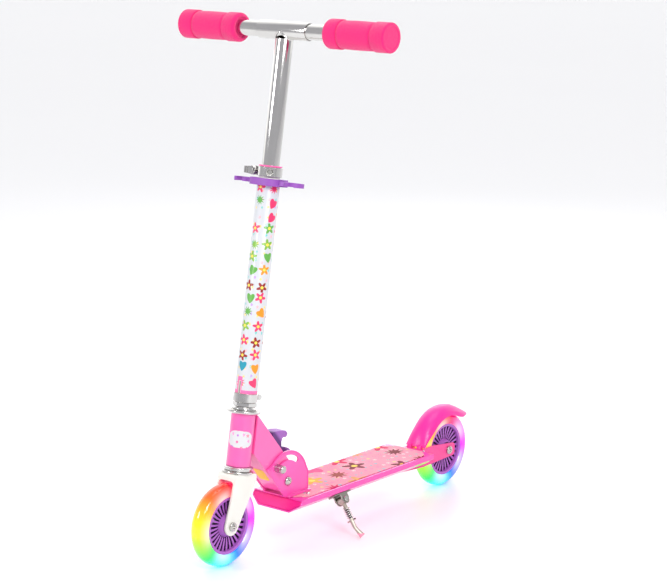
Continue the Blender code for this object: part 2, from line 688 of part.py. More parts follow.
def quick_release_lever(frame, height):
    """A short ribbed thumb lever that turns on the skewer and lies along the clamp's ears when closed."""
    half = height / 2 - 0.5 * MM
    reach = 15 * MM
    outline = arc((0, 0), half, 0, math.pi, 6) + [(-half * 0.8, -reach), (half * 0.8, -reach)]
    outline = [(v, -u) for u, v in outline]
    hole = arc((0, 0), SKEWER_RADIUS + GAP, 0, 2 * math.pi, 12)[:-1]
    look = painted("quick_release_lever", CHROME, 0.25, 1)
    lever = extruded("quick_release_lever", [outline, hole], 0, LEVER_THICKNESS, "YZ", look, parent=frame)
    floor = LEVER_THICKNESS - 1.2 * MM
    for y in (-9 * MM, -12.4 * MM):
        groove = (2 * LEVER_THICKNESS, y + 1.6 * MM, height)
        cut(lever, block(f"lever_groove_cutter_{-y:.4f}", (floor, y, -height), groove, parent=frame))


def handle_holder(column):
    """The plastic holder whose two open clips take the pulled-off handles."""
    low = HOLDER_BOTTOM
    middle = low + HOLDER_HEIGHT / 2
    bore = TUBE_RADIUS + GAP
    half = HOLDER_HUB_WIDTH / 2
    hub = rounded([(-22 * MM, -half), (22 * MM, -half), (22 * MM, half), (-22 * MM, half)], 16 * MM, 5)
    hole = arc((0, 0), bore, 0, 2 * math.pi, 20)[:-1]
    look = painted("handle_holder", PURPLE, 0.4)
    holder = extruded("handle_holder", [hub, hole], low, low + HOLDER_HEIGHT, "XY", look, parent=column)
    arm_low, arm_high = middle - HOLDER_ARM_HEIGHT / 2, middle + HOLDER_ARM_HEIGHT / 2
    for side in (1, -1):
        centre = HOLDER_CLIP_SPREAD / 2 * side
        clip = open_clip(side, centre, arm_low, arm_high, column)
        near, far = sorted((side * (half - 5 * MM), centre - side * (BAR_RADIUS + MM)))
        arm = block(f"holder_arm_{side}", (-7 * MM, near, arm_low), (7 * MM, far, arm_high), parent=column)
        weld(holder, arm, clip)


def open_clip(side, centre, low, high, column):
    """One C-shaped clip, open to the front."""
    inner = BAR_RADIUS - GAP
    outer = inner + HOLDER_CLIP_WALL
    mouth = math.asin(HOLDER_MOUTH / 2 / outer)
    outline = arc((0, centre), outer, mouth, 2 * math.pi - mouth, 14)
    outline += arc((0, centre), inner, 2 * math.pi - mouth, mouth, 14)
    return extruded(f"holder_clip_{side}", [outline], low, high, "XY", None, parent=column)


# T-bar and handles, in the column's frame


def t_bar(column):
    """The stem and its cross sleeve, welded into one piece, with a hole for the snap button."""
    look = painted("t_stem", CHROME, 0.08, 1)
    top = T_HEIGHT - 0.6 * T_SLEEVE_RADIUS
    shape = [(0, STEM_BOTTOM), (STEM_RADIUS, STEM_BOTTOM), (STEM_RADIUS, top), (0, top)]
    stem = turned("t_stem", shape, 22, look, parent=column)
    cross = {"parent": column, "location": (0, 0, T_HEIGHT), "rotation": ALONG_Y}
    half = T_SLEEVE_LENGTH / 2
    sleeve = rod_cutter("t_sleeve_tool", T_SLEEVE_RADIUS, -half, half, 24, **cross)
    bore = rod_cutter("t_sleeve_bore_cutter", BAR_RADIUS + GAP, -2 * half, 2 * half, 20, **cross)
    inner = STEM_RADIUS - STEM_WALL
    stem_bore = rod_cutter("stem_bore_cutter", inner, 0, T_HEIGHT - T_SLEEVE_RADIUS - MM, 22, parent=column)
    hole = rod_cutter("stem_button_cutter", BUTTON_RADIUS + GAP, 0, 2 * TUBE_RADIUS, **button_place(column))
    weld(stem, sleeve)
    cut(stem, bore, stem_bore, hole)
    for side, sign in (("left", 1), ("right", -1)):
        place = handle_button_place(column, sign)
        cut(stem, rod_cutter(f"sleeve_button_cutter_{side}", 3 * MM + GAP, 0, 2 * BAR_RADIUS, 12, **place))


def handle_button_place(column, sign):
    """The frame of a handle's snap button, which points down through the cross sleeve."""
    spot = (0, sign * (T_SLEEVE_LENGTH / 2 - 14 * MM), T_HEIGHT)
    return {"parent": column, "location": spot, "rotation": (0, math.pi, 0)}


def handle(side, sign, column):
    """One pull-off handle: the bar, its foam grip and its snap clip."""
    centre = (0, 0, T_HEIGHT)
    turn = (-math.pi / 2 * sign, 0, 0)
    place = {"parent": column, "location": centre, "rotation": turn}
    end = HANDLEBAR_WIDTH / 2
    inner_end = 6 * MM
    bar_end = end - GRIP_CAP - GAP
    look = painted(f"{side}_bar", CHROME, 0.1, 1)
    bar = ring(f"{side}_bar", BAR_RADIUS - BAR_WALL, BAR_RADIUS, inner_end, bar_end, 20, look, **place)
    button = handle_button_place(column, sign)
    cut(bar, rod_cutter(f"bar_button_cutter_{side}", 3 * MM + GAP, 0, 2 * BAR_RADIUS, 12, **button))
    start = end - GRIP_LENGTH
    foam = painted(f"{side}_grip", HOT_PINK, 0.8)
    turned(f"{side}_grip", grip_profile(start, end, bar_end + GAP), 20, foam, **place)
    reach = T_SLEEVE_RADIUS
    snap_clip(f"{side}_snap_clip", 3 * MM, reach, BAR_RADIUS - BAR_WALL - GAP, 0.6 * MM, "Y", -sign, button)


def grip_profile(start, end, blind):
    """A foam grip's section: a band at each end, a slimmer waist and a closed outer end."""
    bore = BAR_RADIUS + GAP
    soft = 4 * MM
    inner_band = start + GRIP_BAND
    outer_band = end - GRIP_BAND
    groove = 0.8 * MM
    shape = [(bore, start + 1.5 * MM), (bore + 3 * MM, start + 1.5 * MM), (bore + 3.5 * MM, start)]
    shape += [(GRIP_RADIUS - soft, start), (GRIP_RADIUS - soft * 0.3, start + soft * 0.3)]
    shape += [(GRIP_RADIUS, start + soft), (GRIP_RADIUS, inner_band), (GRIP_WAIST, inner_band + groove)]
    shape += [(GRIP_WAIST, outer_band - groove), (GRIP_RADIUS, outer_band)]
    shape += [(GRIP_RADIUS, end - MM), (GRIP_RADIUS - MM, end), (0, end), (0, blind), (bore, blind)]
    return shape


def snap_clip(name, radius, reach, room, leaf, along, way, place):
    """A round button riveted to a bent leaf spring inside a tube. It pops out along local Z."""
    dome = [(0, 0), (radius - 1.5 * MM, 0), (radius - 1.5 * MM, room - 2.6 * MM), (radius, room - 2.6 * MM)]
    dome += [(radius, reach - 0.8 * MM), (radius - 0.8 * MM, reach), (0, reach)]
    look = painted(name, STEEL, 0.3, 1)
    button = turned(name, dome, 14, look, **place)
    top = room * 0.75
    length = 22 * MM * way
    plane = "XZ" if along == "X" else "YZ"
    near, far = -way * radius, way * radius
    leaf_line = [(near, top - leaf), (near, top), (far, top), (length, leaf * 2), (length, -leaf * 2)]
    leaf_line += [(near, -top), (near, leaf - top), (length - way * 2 * leaf, 0), (far, top - leaf)]
    strip = extruded(f"{name}_leaf", [leaf_line], -radius * 0.7, radius * 0.7, plane, None, **place)
    return weld(button, strip)


# Neck, release lever and lock pin


def neck_point(along, above):
    """A point in the XZ plane, measured from the fold pivot along the neck and square to it."""
    u = Vector((math.cos(NECK_ANGLE), math.sin(NECK_ANGLE)))
    n = Vector((-math.sin(NECK_ANGLE), math.cos(NECK_ANGLE)))
    spot = Vector(PIVOT) + u * along + n * above
    return (spot.x, spot.y)


def reach_head_tube(above):
    """How far along the neck a line at the given offset runs to be well inside the head tube's wall."""
    u = Vector((math.cos(NECK_ANGLE), 0, math.sin(NECK_ANGLE)))
    start = neck_point(0, above)
    gap = (COLUMN_FOOT - Vector((start[0], 0, start[1]))).dot(AHEAD_OF_COLUMN)
    return (gap - HEAD_TUBE_RADIUS * 0.72) / u.dot(AHEAD_OF_COLUMN)


def neck(column):
    """The head tube with its folded box gusset, whose open lower end carries the fold pivot."""
    look = painted("neck_frame", PINK, 0.3)
    shape = [(0, HEAD_BOTTOM), (HEAD_TUBE_RADIUS, HEAD_BOTTOM), (HEAD_TUBE_RADIUS, HEAD_TOP), (0, HEAD_TOP)]
    frame = turned("neck_frame", shape, 20, look, parent=column)
    up = NECK_ANGLE + math.pi / 2
    outline = [neck_point(reach_head_tube(NECK_ABOVE), NECK_ABOVE), neck_point(3 * MM, NECK_ABOVE)]
    outline += arc(PIVOT, NECK_BELOW, up + math.radians(40), up + math.pi, 8)
    outline += [neck_point(reach_head_tube(-NECK_BELOW), -NECK_BELOW)]
    box = extruded("neck_box", [outline], -NECK_HALF, NECK_HALF, "XZ", None)
    top, bottom = NECK_ABOVE - NECK_WALL, -NECK_BELOW + NECK_WALL
    inner = [neck_point(reach_head_tube(top), top), neck_point(-60 * MM, top)]
    inner += [neck_point(-60 * MM, bottom), neck_point(reach_head_tube(bottom), bottom)]
    side = NECK_HALF - NECK_WALL
    hollow = extruded("neck_hollow_cutter", [inner], -side, side, "XZ", None)
    clear = 2 * NECK_HALF
    window_low, window_high = 10 * MM, 72 * MM
    window = [neck_point(window_low, 0), neck_point(window_high, 0)]
    window += [neck_point(window_high, 2 * NECK_ABOVE), neck_point(window_low, 2 * NECK_ABOVE)]
    lever_room = LEVER_HALF_WIDTH + RUN
    opening = extruded("lever_window_cutter", [window], -lever_room, lever_room, "XZ", None)
    bore = rod_cutter(
        "head_bore_cutter", HEAD_TUBE_RADIUS - HEAD_TUBE_WALL, 0, 2 * HEAD_TOP, 22, parent=column
    )
    pivot = rod_cutter("neck_pivot_cutter", PIVOT_RADIUS + GAP, -clear, clear, **across(PIVOT))
    slot_ends = (LOCK_RADIUS, LOCK_RADIUS + LOCK_LIFT)
    slot = extruded("neck_lock_cutter", [lock_slot(slot_ends)], -clear, clear, "XZ", None)
    pin_hole = rod_cutter(
        "lever_pin_cutter", LEVER_PIN_RADIUS + GAP, -clear, clear, 12, **across(lever_pivot())
    )
    weld(frame, box)
    cut(frame, hollow, opening, bore, pivot, slot, pin_hole)
    pin = painted("lever_pivot_pin", STEEL, 0.3, 1)
    shape = [(0, -NECK_HALF), (LEVER_PIN_RADIUS, -NECK_HALF), (LEVER_PIN_RADIUS, NECK_HALF), (0, NECK_HALF)]
    turned("lever_pivot_pin", shape, 16, pin, **across(lever_pivot()))


def across(spot):
    """The frame of a pin that crosses the scooter at a point of the XZ plane."""
    return {"location": (spot[0], 0, spot[1]), "rotation": ALONG_Y}


def lock_spot(radius=LOCK_RADIUS):
    """Where the lock pin sits, at a distance from the fold pivot."""
    return arc(PIVOT, radius, LOCK_ANGLE, LOCK_ANGLE, 1)[0]


def lock_slot(ends):
    """The short slot along which the lock pin slides in the neck."""
    radius = LOCK_PIN_RADIUS + GAP
    low, high = (lock_spot(r) for r in ends)
    outline = arc(low, radius, LOCK_ANGLE + math.pi / 2, LOCK_ANGLE + math.pi * 1.5, 8)
    outline += arc(high, radius, LOCK_ANGLE - math.pi / 2, LOCK_ANGLE + math.pi / 2, 8)
    return outline


def lever_pivot():
    return neck_point(LEVER_PIVOT_ALONG, LEVER_PIVOT_ABOVE)


def release_lever():
    """The thumb lever: a hook round the lock pin inside the neck, and a tab that stands out behind it."""
    outside = [
        (27, -7), (40, -7), (45, 4), (45, 16), (50, 27), (66, 29), (70, 33), (60, 44), (49, 53), (42, 53)
    ]
    outside += [
        (41, 47), (47, 42), (44, 36), (38, 31), (32, 36), (24, 40), (15, 41), (15, 35), (24, 27), (28, 16)
    ]
    outline = rounded([neck_point(a * MM, b * MM) for a, b in outside], 2.5 * MM, 2)
    look = painted("release_lever", PURPLE, 0.4)
    half = LEVER_HALF_WIDTH
    lever = extruded("release_lever", [outline], -half, half, "XZ", look)
    hook = rod_cutter(
        "lever_hook_cutter", LOCK_PIN_RADIUS + 0.7 * MM, -2 * half, 2 * half, 20, **across(lock_spot())
    )
    pin = rod_cutter(
        "lever_bore_cutter", LEVER_PIN_RADIUS + GAP, -2 * half, 2 * half, 12, **across(lever_pivot())
    )
    cut(lever, hook, pin)


def lock_pin():
    """The cross pin that locks the fold: a roller and a head stand out on each side of the bracket."""
    inner = BRACKET_HALF + GAP
    outer = inner + ROLLER_LENGTH
    head = outer + LOCK_HEAD_HEIGHT
    half = [
        (LOCK_PIN_RADIUS, inner), (ROLLER_RADIUS, inner), (ROLLER_RADIUS, outer), (LOCK_HEAD_RADIUS, outer)
    ]
    half += [(LOCK_HEAD_RADIUS, head - MM), (LOCK_HEAD_RADIUS - MM, head), (0, head)]
    shape = [(r, -y) for r, y in reversed(half)] + half
    turned("lock_pin", shape, 14, painted("lock_pin", STEEL, 0.3, 1), **across(lock_spot()))


# Hinge bracket on the deck


def bracket():
    """The folded bracket: two side plates with arc slots, joined by a foot plate on the deck."""
    x, z = PIVOT
    foot = DECK_TOP + GRIP_SHEET + 2 * GAP
    edge = arc(PIVOT, BRACKET_RADIUS, math.radians(42), math.radians(160), 11)
    front = (x + 44.6 * MM, z + 25.8 * MM)
    toe = (x + 5 * MM, foot)
    heel = [(x - BRACKET_BACK, z + 8 * MM), (x - BRACKET_BACK, foot)]
    outline = [toe, front] + edge + heel
    look = painted("hinge_bracket", PINK, 0.3)
    body = extruded("hinge_bracket", [outline], -BRACKET_HALF, BRACKET_HALF, "XZ", look)
    high = foot + BRACKET_WALL
    channel_low = (x - 2 * BRACKET_BACK, -BRACKET_INNER, high)
    channel = block("bracket_channel_cutter", channel_low, (x + 2 * BRACKET_BACK, BRACKET_INNER, 4 * z))
    wing = BRACKET_HALF + BRACKET_FLANGE
    flange = block("bracket_flange", (x - BRACKET_BACK, -wing, foot), (x + MM, wing, high))
    slot = extruded("bracket_slot_cutter", [arc_slot()], -2 * BRACKET_HALF, 2 * BRACKET_HALF, "XZ", None)
    hole = rod_cutter("bracket_pivot_cutter", PIVOT_RADIUS + GAP, -2 * wing, 2 * wing, **across(PIVOT))
    weld(body, flange)
    cut(body, channel, slot, hole)
    bolt()


def arc_slot():
    """The edge of the arc slot, which the lock pin runs along while the scooter folds."""
    inner, outer = ARC_BAND
    middle, width = (inner + outer) / 2, (outer - inner) / 2
    start, stop = LOCK_ANGLE, LOCK_ANGLE + FOLD_ANGLE
    near, far = (arc(PIVOT, middle, a, a, 1)[0] for a in (start, stop))
    outline = arc(PIVOT, outer, start, stop, 10) + arc(far, width, stop + 0.3, stop + math.pi - 0.3, 4)
    outline += arc(PIVOT, inner, stop, start, 8) + arc(
        near, width, start + math.pi + 0.3, start + 2 * math.pi - 0.3, 4
    )
    return outline


def bolt():
    """The fold pivot's bolt, with its head on the left, and its nut."""
    face = BRACKET_HALF + GAP
    head = 6.5 * MM
    top = face + 4 * MM
    shape = [(0, -face - 6.5 * MM), (PIVOT_RADIUS, -face - 6.5 * MM), (PIVOT_RADIUS, face), (head, face)]
    shape += [(head, top - MM), (head - MM, top), (0, top)]
    turned("fold_pivot_bolt", shape, 14, painted("fold_pivot_bolt", STEEL, 0.25, 1), **across(PIVOT))
    nut = painted("fold_pivot_nut", STEEL, 0.3, 1)
    hexagon("fold_pivot_nut", PIVOT_RADIUS + GAP, 7.5 * MM, -face - 5.5 * MM, -face, nut, **across(PIVOT))


# Deck


def deck_section(inset=0.0):
    """The deck's hollow section in the YZ plane: a flat top, upright lips and slanted lower sides."""
    side, bottom = DECK_HALF_WIDTH - inset, DECK_BOTTOM_HALF - inset * 0.55
    top, lip, low = DECK_TOP - inset, DECK_LIP_BOTTOM + inset * 0.3, DECK_BOTTOM + inset
    right = [(side, top), (side, lip), (bottom, low)]
    return right + [(-y, z) for y, z in reversed(right)]


def deck():
    """The deck shell with its raked nose, the nose cap inside it and the printed grip sheet on top."""
    nose = DECK_FRONT + DECK_NOSE
    look = painted("deck_pan", PINK, 0.35)
    pan = extruded("deck_pan", [deck_section(), deck_section(DECK_WALL)], DECK_REAR, nose, "YZ", look)
    rake = [(DECK_FRONT, DECK_TOP), (nose, DECK_BOTTOM), (nose + DECK_DEPTH, DECK_BOTTOM - DECK_DEPTH)]
    rake += [(nose + 2 * DECK_DEPTH, DECK_TOP + DECK_DEPTH), (DECK_FRONT - DECK_NOSE, DECK_TOP + DECK_DEPTH)]
    wide = 2 * DECK_HALF_WIDTH
    cut(pan, extruded("deck_nose_cutter", [rake], -wide, wide, "XZ", None))
    inside = [deck_section(DECK_WALL + GAP)]
    look = painted("deck_front_cap", HOT_PINK, 0.35)
    cap = extruded("deck_front_cap", inside, DECK_FRONT - 2 * DECK_NOSE, nose, "YZ", look)
    shift = Vector((0.4 * MM, 0))
    face = [tuple(Vector(p) - shift) for p in rake]
    slope = DECK_NOSE / DECK_DEPTH
    lean = [
        (DECK_FRONT - 4 * MM - slope * DECK_DEPTH, DECK_TOP + DECK_DEPTH),
        (2 * DECK_REAR, DECK_TOP + DECK_DEPTH),
    ]
    lean += [
        (2 * DECK_REAR, DECK_BOTTOM - DECK_DEPTH), (nose - 4 * MM + DECK_NOSE, DECK_BOTTOM - DECK_DEPTH)
    ]
    cut(cap, extruded("cap_face_cutter", [face], -wide, wide, "XZ", None))
    cut(cap, extruded("cap_back_cutter", [lean], -wide, wide, "XZ", None))
    grip_sheet()


def grip_sheet():
    """The printed non-slip sheet, with its corners cut off."""
    side = DECK_HALF_WIDTH - GRIP_SHEET_MARGIN
    front, rear = DECK_FRONT - GRIP_SHEET_MARGIN, DECK_REAR + GRIP_SHEET_MARGIN
    nip = 16 * MM
    outline = [(rear + nip, -side), (front - nip, -side), (front, -side + nip), (front, side - nip)]
    outline += [(front - nip, side), (rear + nip, side), (rear, side - nip), (rear, -side + nip)]
    low = DECK_TOP + GAP
    extruded("grip_sheet", [outline], low, low + GRIP_SHEET, "XY", painted("grip_sheet", PALE_PINK, 0.7))


# Rear fork and fender brake


def rear_fork():
    """The channel under the deck's tail, whose two arms hold the rear axle and the fender's pin."""
    axle_x, axle_z = REAR_AXLE_X, WHEEL_RADIUS
    tip = axle_x - 17 * MM
    under = DECK_BOTTOM - GAP
    front = DECK_REAR + 50 * MM
    step = DECK_REAR - 2 * GAP
    top = DECK_TOP - 0.5 * MM
    outline = [(front, under), (front, under - 6 * MM), (DECK_REAR - 12 * MM, DECK_BOTTOM - 11 * MM)]
    outline += [(tip + 4 * MM, axle_z - 11 * MM), (tip, axle_z - 7 * MM), (tip, axle_z + 6 * MM)]
    outline += [(tip + 4 * MM, axle_z + 9.5 * MM), (axle_x + 42 * MM, top), (step, top), (step, under)]
    look = painted("rear_fork", HOT_PINK, 0.35)
    body = extruded("rear_fork", [outline], -FORK_OUTER, FORK_OUTER, "XZ", look)
    wheel_room = block(
        "rear_wheel_room_cutter", (2 * REAR_AXLE_X, -FORK_INNER, 0), (REAR_WEB_X, FORK_INNER, 2 * DECK_TOP)
    )
    tongue_back = REAR_WEB_X + SHEET
    tongue = block("rear_tongue_cutter", (tongue_back, -FORK_INNER, 0), (0, FORK_INNER, under - SHEET))
    bore = rod_cutter("rear_axle_cutter", AXLE_RADIUS + GAP, -0.1, 0.1, **across((axle_x, axle_z)))
    pin_spot = (FENDER_PIN_X, FENDER_PIN_Z)
    pin = rod_cutter("fender_pin_cutter", FENDER_PIN_RADIUS + GAP, -0.1, 0.1, 12, **across(pin_spot))
    cut(body, wheel_room, tongue, bore, pin)
    steel = painted("fender_hinge_pin", STEEL, 0.3, 1)
    reach = FORK_OUTER
    shape = [(0, -reach), (FENDER_PIN_RADIUS, -reach), (FENDER_PIN_RADIUS, reach), (0, reach)]
    turned("fender_hinge_pin", shape, 16, steel, **across(pin_spot))
    coil = helix(FENDER_PIN_RADIUS + 1.4 * MM, -4 * MM, 4 * MM, 4)
    wire = painted("fender_spring", STEEL, 0.3, 1)
    swept("fender_spring", coil, 0.6 * MM, wire, 0, **across(pin_spot))


def fender_station(angle):
    """The radius of the fender's crown line and how deep its sides hang, at an angle about the rear axle."""
    straight, tail = math.radians(118), math.radians(138)
    rise = max(0.0, (angle - straight) / (tail - straight)) ** 2
    radius = WHEEL_RADIUS + FENDER_CLEARANCE + FENDER_SHEET + FENDER_TAIL_RISE * rise
    open_up = min(1.0, max(0.0, (angle - math.radians(14)) / math.radians(34)))
    depth = FENDER_DEPTH * (0.2 + 0.8 * math.sin(open_up * math.pi / 2)) * (1 - 0.6 * rise)
    return radius, depth


def fender():
    """The arched brake fender over the rear wheel, hinged at its foot."""
    angles = [math.radians(14 + 124 * i / 12) for i in range(13)]
    across_steps = [math.pi / 2 * (i / 4 - 1) for i in range(9)]
    bm = bmesh.new()
    skins = []
    for inset in (0.0, FENDER_SHEET):
        rows = []
        for angle in angles:
            radius, depth = fender_station(angle)
            tail = max(0.0, (math.degrees(angle) - 124) / 14)
            width = FENDER_HALF_WIDTH * math.sqrt(1 - 0.55 * tail**2) - inset
            row = []
            for a in across_steps:
                r = radius - inset - (depth - inset * 0.4) * (1 - math.cos(a))
                x = REAR_AXLE_X + r * math.cos(angle)
                z = WHEEL_RADIUS + r * math.sin(angle)
                row.append(bm.verts.new((x, width * math.sin(a), z)))
            rows.append(row)
        skins.append(rows)
    outer, inner = skins
    last_row, last = len(angles) - 1, len(across_steps) - 1
    for i in range(last_row):
        for j in range(last):
            for skin in skins:
                bm.faces.new((skin[i][j], skin[i][j + 1], skin[i + 1][j + 1], skin[i + 1][j]))
        for j in (0, last):
            bm.faces.new((outer[i][j], outer[i + 1][j], inner[i + 1][j], inner[i][j]))
    for i in (0, last_row):
        for j in range(last):
            bm.faces.new((outer[i][j], outer[i][j + 1], inner[i][j + 1], inner[i][j]))
    shell = finish("fender", bm, painted("fender", HOT_PINK, 0.3))
    for side, sign in (("left", 1), ("right", -1)):
        weld(shell, knuckle(side, sign))


def knuckle(side, sign):
    """One ear of the fender, with the hole for its hinge pin."""
    spot = (FENDER_PIN_X, FENDER_PIN_Z)
    low, high = sorted((sign * 5.5 * MM, sign * (FORK_INNER - RUN)))
    radius = FENDER_KNUCKLE
    head = FENDER_PIN_Z + 10 * MM
    outline = arc(spot, radius, math.pi * 0.95, math.pi * 2.0, 10)
    outline += [(spot[0] + 2.2 * MM, head), (spot[0] - 2.2 * MM, head)]
    hole = arc(spot, FENDER_PIN_RADIUS + GAP, 0, 2 * math.pi, 12)[:-1]
    return extruded(f"fender_knuckle_{side}", [outline, hole], low, high, "XZ", None)


# Kickstand


def kickstand():
    """The stand's bracket on the deck's slanted left side, its rivet, and the leg with its spring."""
    run, drop = DECK_HALF_WIDTH - DECK_BOTTOM_HALF, DECK_LIP_BOTTOM - DECK_BOTTOM
    slope = math.atan2(drop, run)
    middle_y = (DECK_HALF_WIDTH + DECK_BOTTOM_HALF) / 2
    middle_z = (DECK_LIP_BOTTOM + DECK_BOTTOM) / 2
    spot = (DECK_FRONT - STAND_FROM_FRONT, middle_y, middle_z)
    mount = empty("kickstand_mount", spot, (slope + math.pi, 0, 0))
    base = GAP
    long, wide = STAND_BASE_LENGTH / 2, STAND_BASE_WIDTH / 2
    steel = painted("kickstand_bracket", STEEL, 0.35, 1)
    plate = block(
        "kickstand_bracket", (-long, -wide, base), (long, wide, base + STAND_SHEET), steel, parent=mount
    )
    pivot = base + STAND_PIVOT_HEIGHT
    ear_in, ear_out = wide - STAND_SHEET, wide
    shape = [(-8 * MM, base + MM), (-8 * MM, pivot)] + arc((0, pivot), 7 * MM, math.pi, 0, 8)
    shape += [(8 * MM, pivot), (8 * MM, base + MM)]
    for side, low, high in (("outer", -ear_out, -ear_in), ("inner", ear_in, ear_out)):
        weld(plate, extruded(f"stand_ear_{side}", [shape], low, high, "XZ", None, parent=mount))
    axis = {"parent": mount, "location": (0, 0, pivot), "rotation": ALONG_Y}
    cut(plate, rod_cutter("stand_rivet_cutter", STAND_PIN_RADIUS + GAP, -2 * wide, 2 * wide, 12, **axis))
    face = wide + GAP
    head = [(STAND_PIN_RADIUS, face), (4.5 * MM, face), (3.5 * MM, face + 1.5 * MM), (0, face + 1.5 * MM)]
    rivet = [(r, -y) for r, y in reversed(head)] + head
    turned("kickstand_rivet", rivet, 12, painted("kickstand_rivet", STEEL, 0.3, 1), **axis)
    stand_leg(empty("kickstand_axis", (0, 0, pivot), parent=mount), ear_in - RUN)


def stand_leg(frame, eye_half):
    """The leg hangs along local +Z from its eye and ends in a flattened foot bent outwards."""
    look = painted("kickstand_leg", STEEL, 0.3, 1)
    start = STAND_EYE_RADIUS * 0.6
    end = STAND_LENGTH - 9 * MM
    route = [(0, 0, start), (0, 0, end), (-1 * MM, -0.7 * MM, end + 5 * MM)]
    route += [(-2.5 * MM, -1.8 * MM, end + 11 * MM), (-4 * MM, -3 * MM, end + 17 * MM)]
    leg = rod_chain("kickstand_leg", route, STAND_ROD_RADIUS, look, frame)
    hinge = {"parent": frame, "rotation": ALONG_Y}
    wide = 3 * eye_half
    eye = rod_cutter("stand_eye_tool", STAND_EYE_RADIUS, -eye_half, eye_half, 14, **hinge)
    bore = rod_cutter("stand_bore_cutter", STAND_PIN_RADIUS + GAP, -wide, wide, 12, **hinge)
    low, high = STAND_EYE_RADIUS + 5 * MM, STAND_EYE_RADIUS + 24 * MM
    stop = block(
        "stand_stop_tool", (-1.2 * MM, -8 * MM, high + 1.2 * MM),
        (1.2 * MM, 8 * MM, high + 3.6 * MM), parent=frame,
    )
    weld(leg, eye, stop)
    cut(leg, bore)
    coil_radius = STAND_ROD_RADIUS + GAP + STAND_SPRING_WIRE + 0.6 * MM
    wire = painted("kickstand_spring", STEEL, 0.3, 1)
    swept("kickstand_spring", helix(coil_radius, low, high, 5), STAND_SPRING_WIRE, wire, 0, parent=frame)


def rod_chain(name, route, radius, look, frame):
    """A bent rod of ten sides along a route, flattened towards its last point."""
    bm = bmesh.new()
    rings = []
    count = len(route)
    for i, spot in enumerate(route):
        before, after = Vector(route[max(i - 1, 0)]), Vector(route[min(i + 1, count - 1)])
        ahead = (after - before).normalized()
        side = ahead.orthogonal().normalized() if i == 0 else rings[-1][1]
        side = (side - ahead * side.dot(ahead)).normalized()
        other = ahead.cross(side)
        flat = max(0.0, (i - 2) / (count - 3))
        wide, thin = radius * (1 + 0.5 * flat), radius * (1 - 0.3 * flat)
        turn = [2 * math.pi * k / 10 for k in range(10)]
        points = [Vector(spot) + side * wide * math.cos(a) + other * thin * math.sin(a) for a in turn]
        rings.append(([bm.verts.new(p) for p in points], side))
    for (low, _), (high, _) in zip(rings, rings[1:]):
        for k in range(10):
            bm.faces.new((low[k], low[(k + 1) % 10], high[(k + 1) % 10], high[k]))
    bm.faces.new(rings[0][0])
    bm.faces.new(rings[-1][0])
    return finish(name, bm, look, parent=frame)


def build():
    for old in list(bpy.data.objects):
        bpy.data.objects.remove(old)
    column = empty("steering_axis", COLUMN_FOOT, (0, -RAKE, 0))
    front = empty("front_axle_frame", (FORK_OFFSET, 0, 0), (-math.pi / 2, RAKE, 0), column)
    rear = empty("rear_axle_frame", (REAR_AXLE_X, 0, WHEEL_RADIUS), ALONG_Y)
    for end, hub in (("front", front), ("rear", rear)):
        wheel(end, {"parent": hub})
        axle(end, {"parent": hub})
    fork(column)
    headset(column)
    cups(column)
    column_tube(column)
    lower_clamp(column)
    height_clamp(column)
    handle_holder(column)
    t_bar(column)
    place = button_place(column)
    room = STEM_RADIUS - STEM_WALL - GAP
    snap_clip("height_snap_clip", BUTTON_RADIUS, SLEEVE_RADIUS - GAP, room, 0.8 * MM, "X", 1, place)
    handle("left", 1, column)
    handle("right", -1, column)
    neck(column)
    release_lever()
    lock_pin()
    bracket()
    deck()
    rear_fork()
    fender()
    kickstand()


build()
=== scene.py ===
# %% [markdown]
# # A child's folding kick scooter
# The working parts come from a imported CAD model, which is loaded first. Everything after that is about
# looks: each rough CAD piece is either cleaned up and given soft edges, or rebuilt with finer curves.

import json
import bmesh
import bpy
from math import asin, cos, pi, radians, sin, sqrt
from mathutils import Matrix, Vector

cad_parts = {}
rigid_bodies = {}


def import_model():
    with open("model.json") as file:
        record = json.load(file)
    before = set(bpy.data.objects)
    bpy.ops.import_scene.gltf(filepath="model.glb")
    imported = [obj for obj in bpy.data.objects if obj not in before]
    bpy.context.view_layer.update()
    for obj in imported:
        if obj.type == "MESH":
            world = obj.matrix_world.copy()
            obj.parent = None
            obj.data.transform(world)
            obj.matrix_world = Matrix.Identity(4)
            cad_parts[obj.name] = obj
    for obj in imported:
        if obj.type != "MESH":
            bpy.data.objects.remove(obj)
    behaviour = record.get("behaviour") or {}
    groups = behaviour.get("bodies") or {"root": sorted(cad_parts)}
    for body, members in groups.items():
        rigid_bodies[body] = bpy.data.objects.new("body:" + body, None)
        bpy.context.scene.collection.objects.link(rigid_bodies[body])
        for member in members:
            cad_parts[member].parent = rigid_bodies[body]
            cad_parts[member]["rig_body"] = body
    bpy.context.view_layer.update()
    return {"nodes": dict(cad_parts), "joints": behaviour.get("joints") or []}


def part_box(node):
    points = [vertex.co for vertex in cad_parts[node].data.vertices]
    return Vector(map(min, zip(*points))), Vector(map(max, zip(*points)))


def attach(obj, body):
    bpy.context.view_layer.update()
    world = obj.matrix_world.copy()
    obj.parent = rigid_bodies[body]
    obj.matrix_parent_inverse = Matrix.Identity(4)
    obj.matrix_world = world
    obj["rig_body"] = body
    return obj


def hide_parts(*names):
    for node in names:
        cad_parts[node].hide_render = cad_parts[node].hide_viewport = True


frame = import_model()
MM = 0.001
TAU = 2 * pi


def add_object(name, data):
    """A new object in the scene that shows the given mesh, light or camera."""
    made = bpy.data.objects.new(name, data)
    bpy.context.scene.collection.objects.link(made)
    return made


# %% [markdown]
# ## The steering column's own frame
# The head tube leans back, so everything on it is easier to describe by its height along the column and
# its distance in front of it. The steering joint says where the column stands and which way it leans.

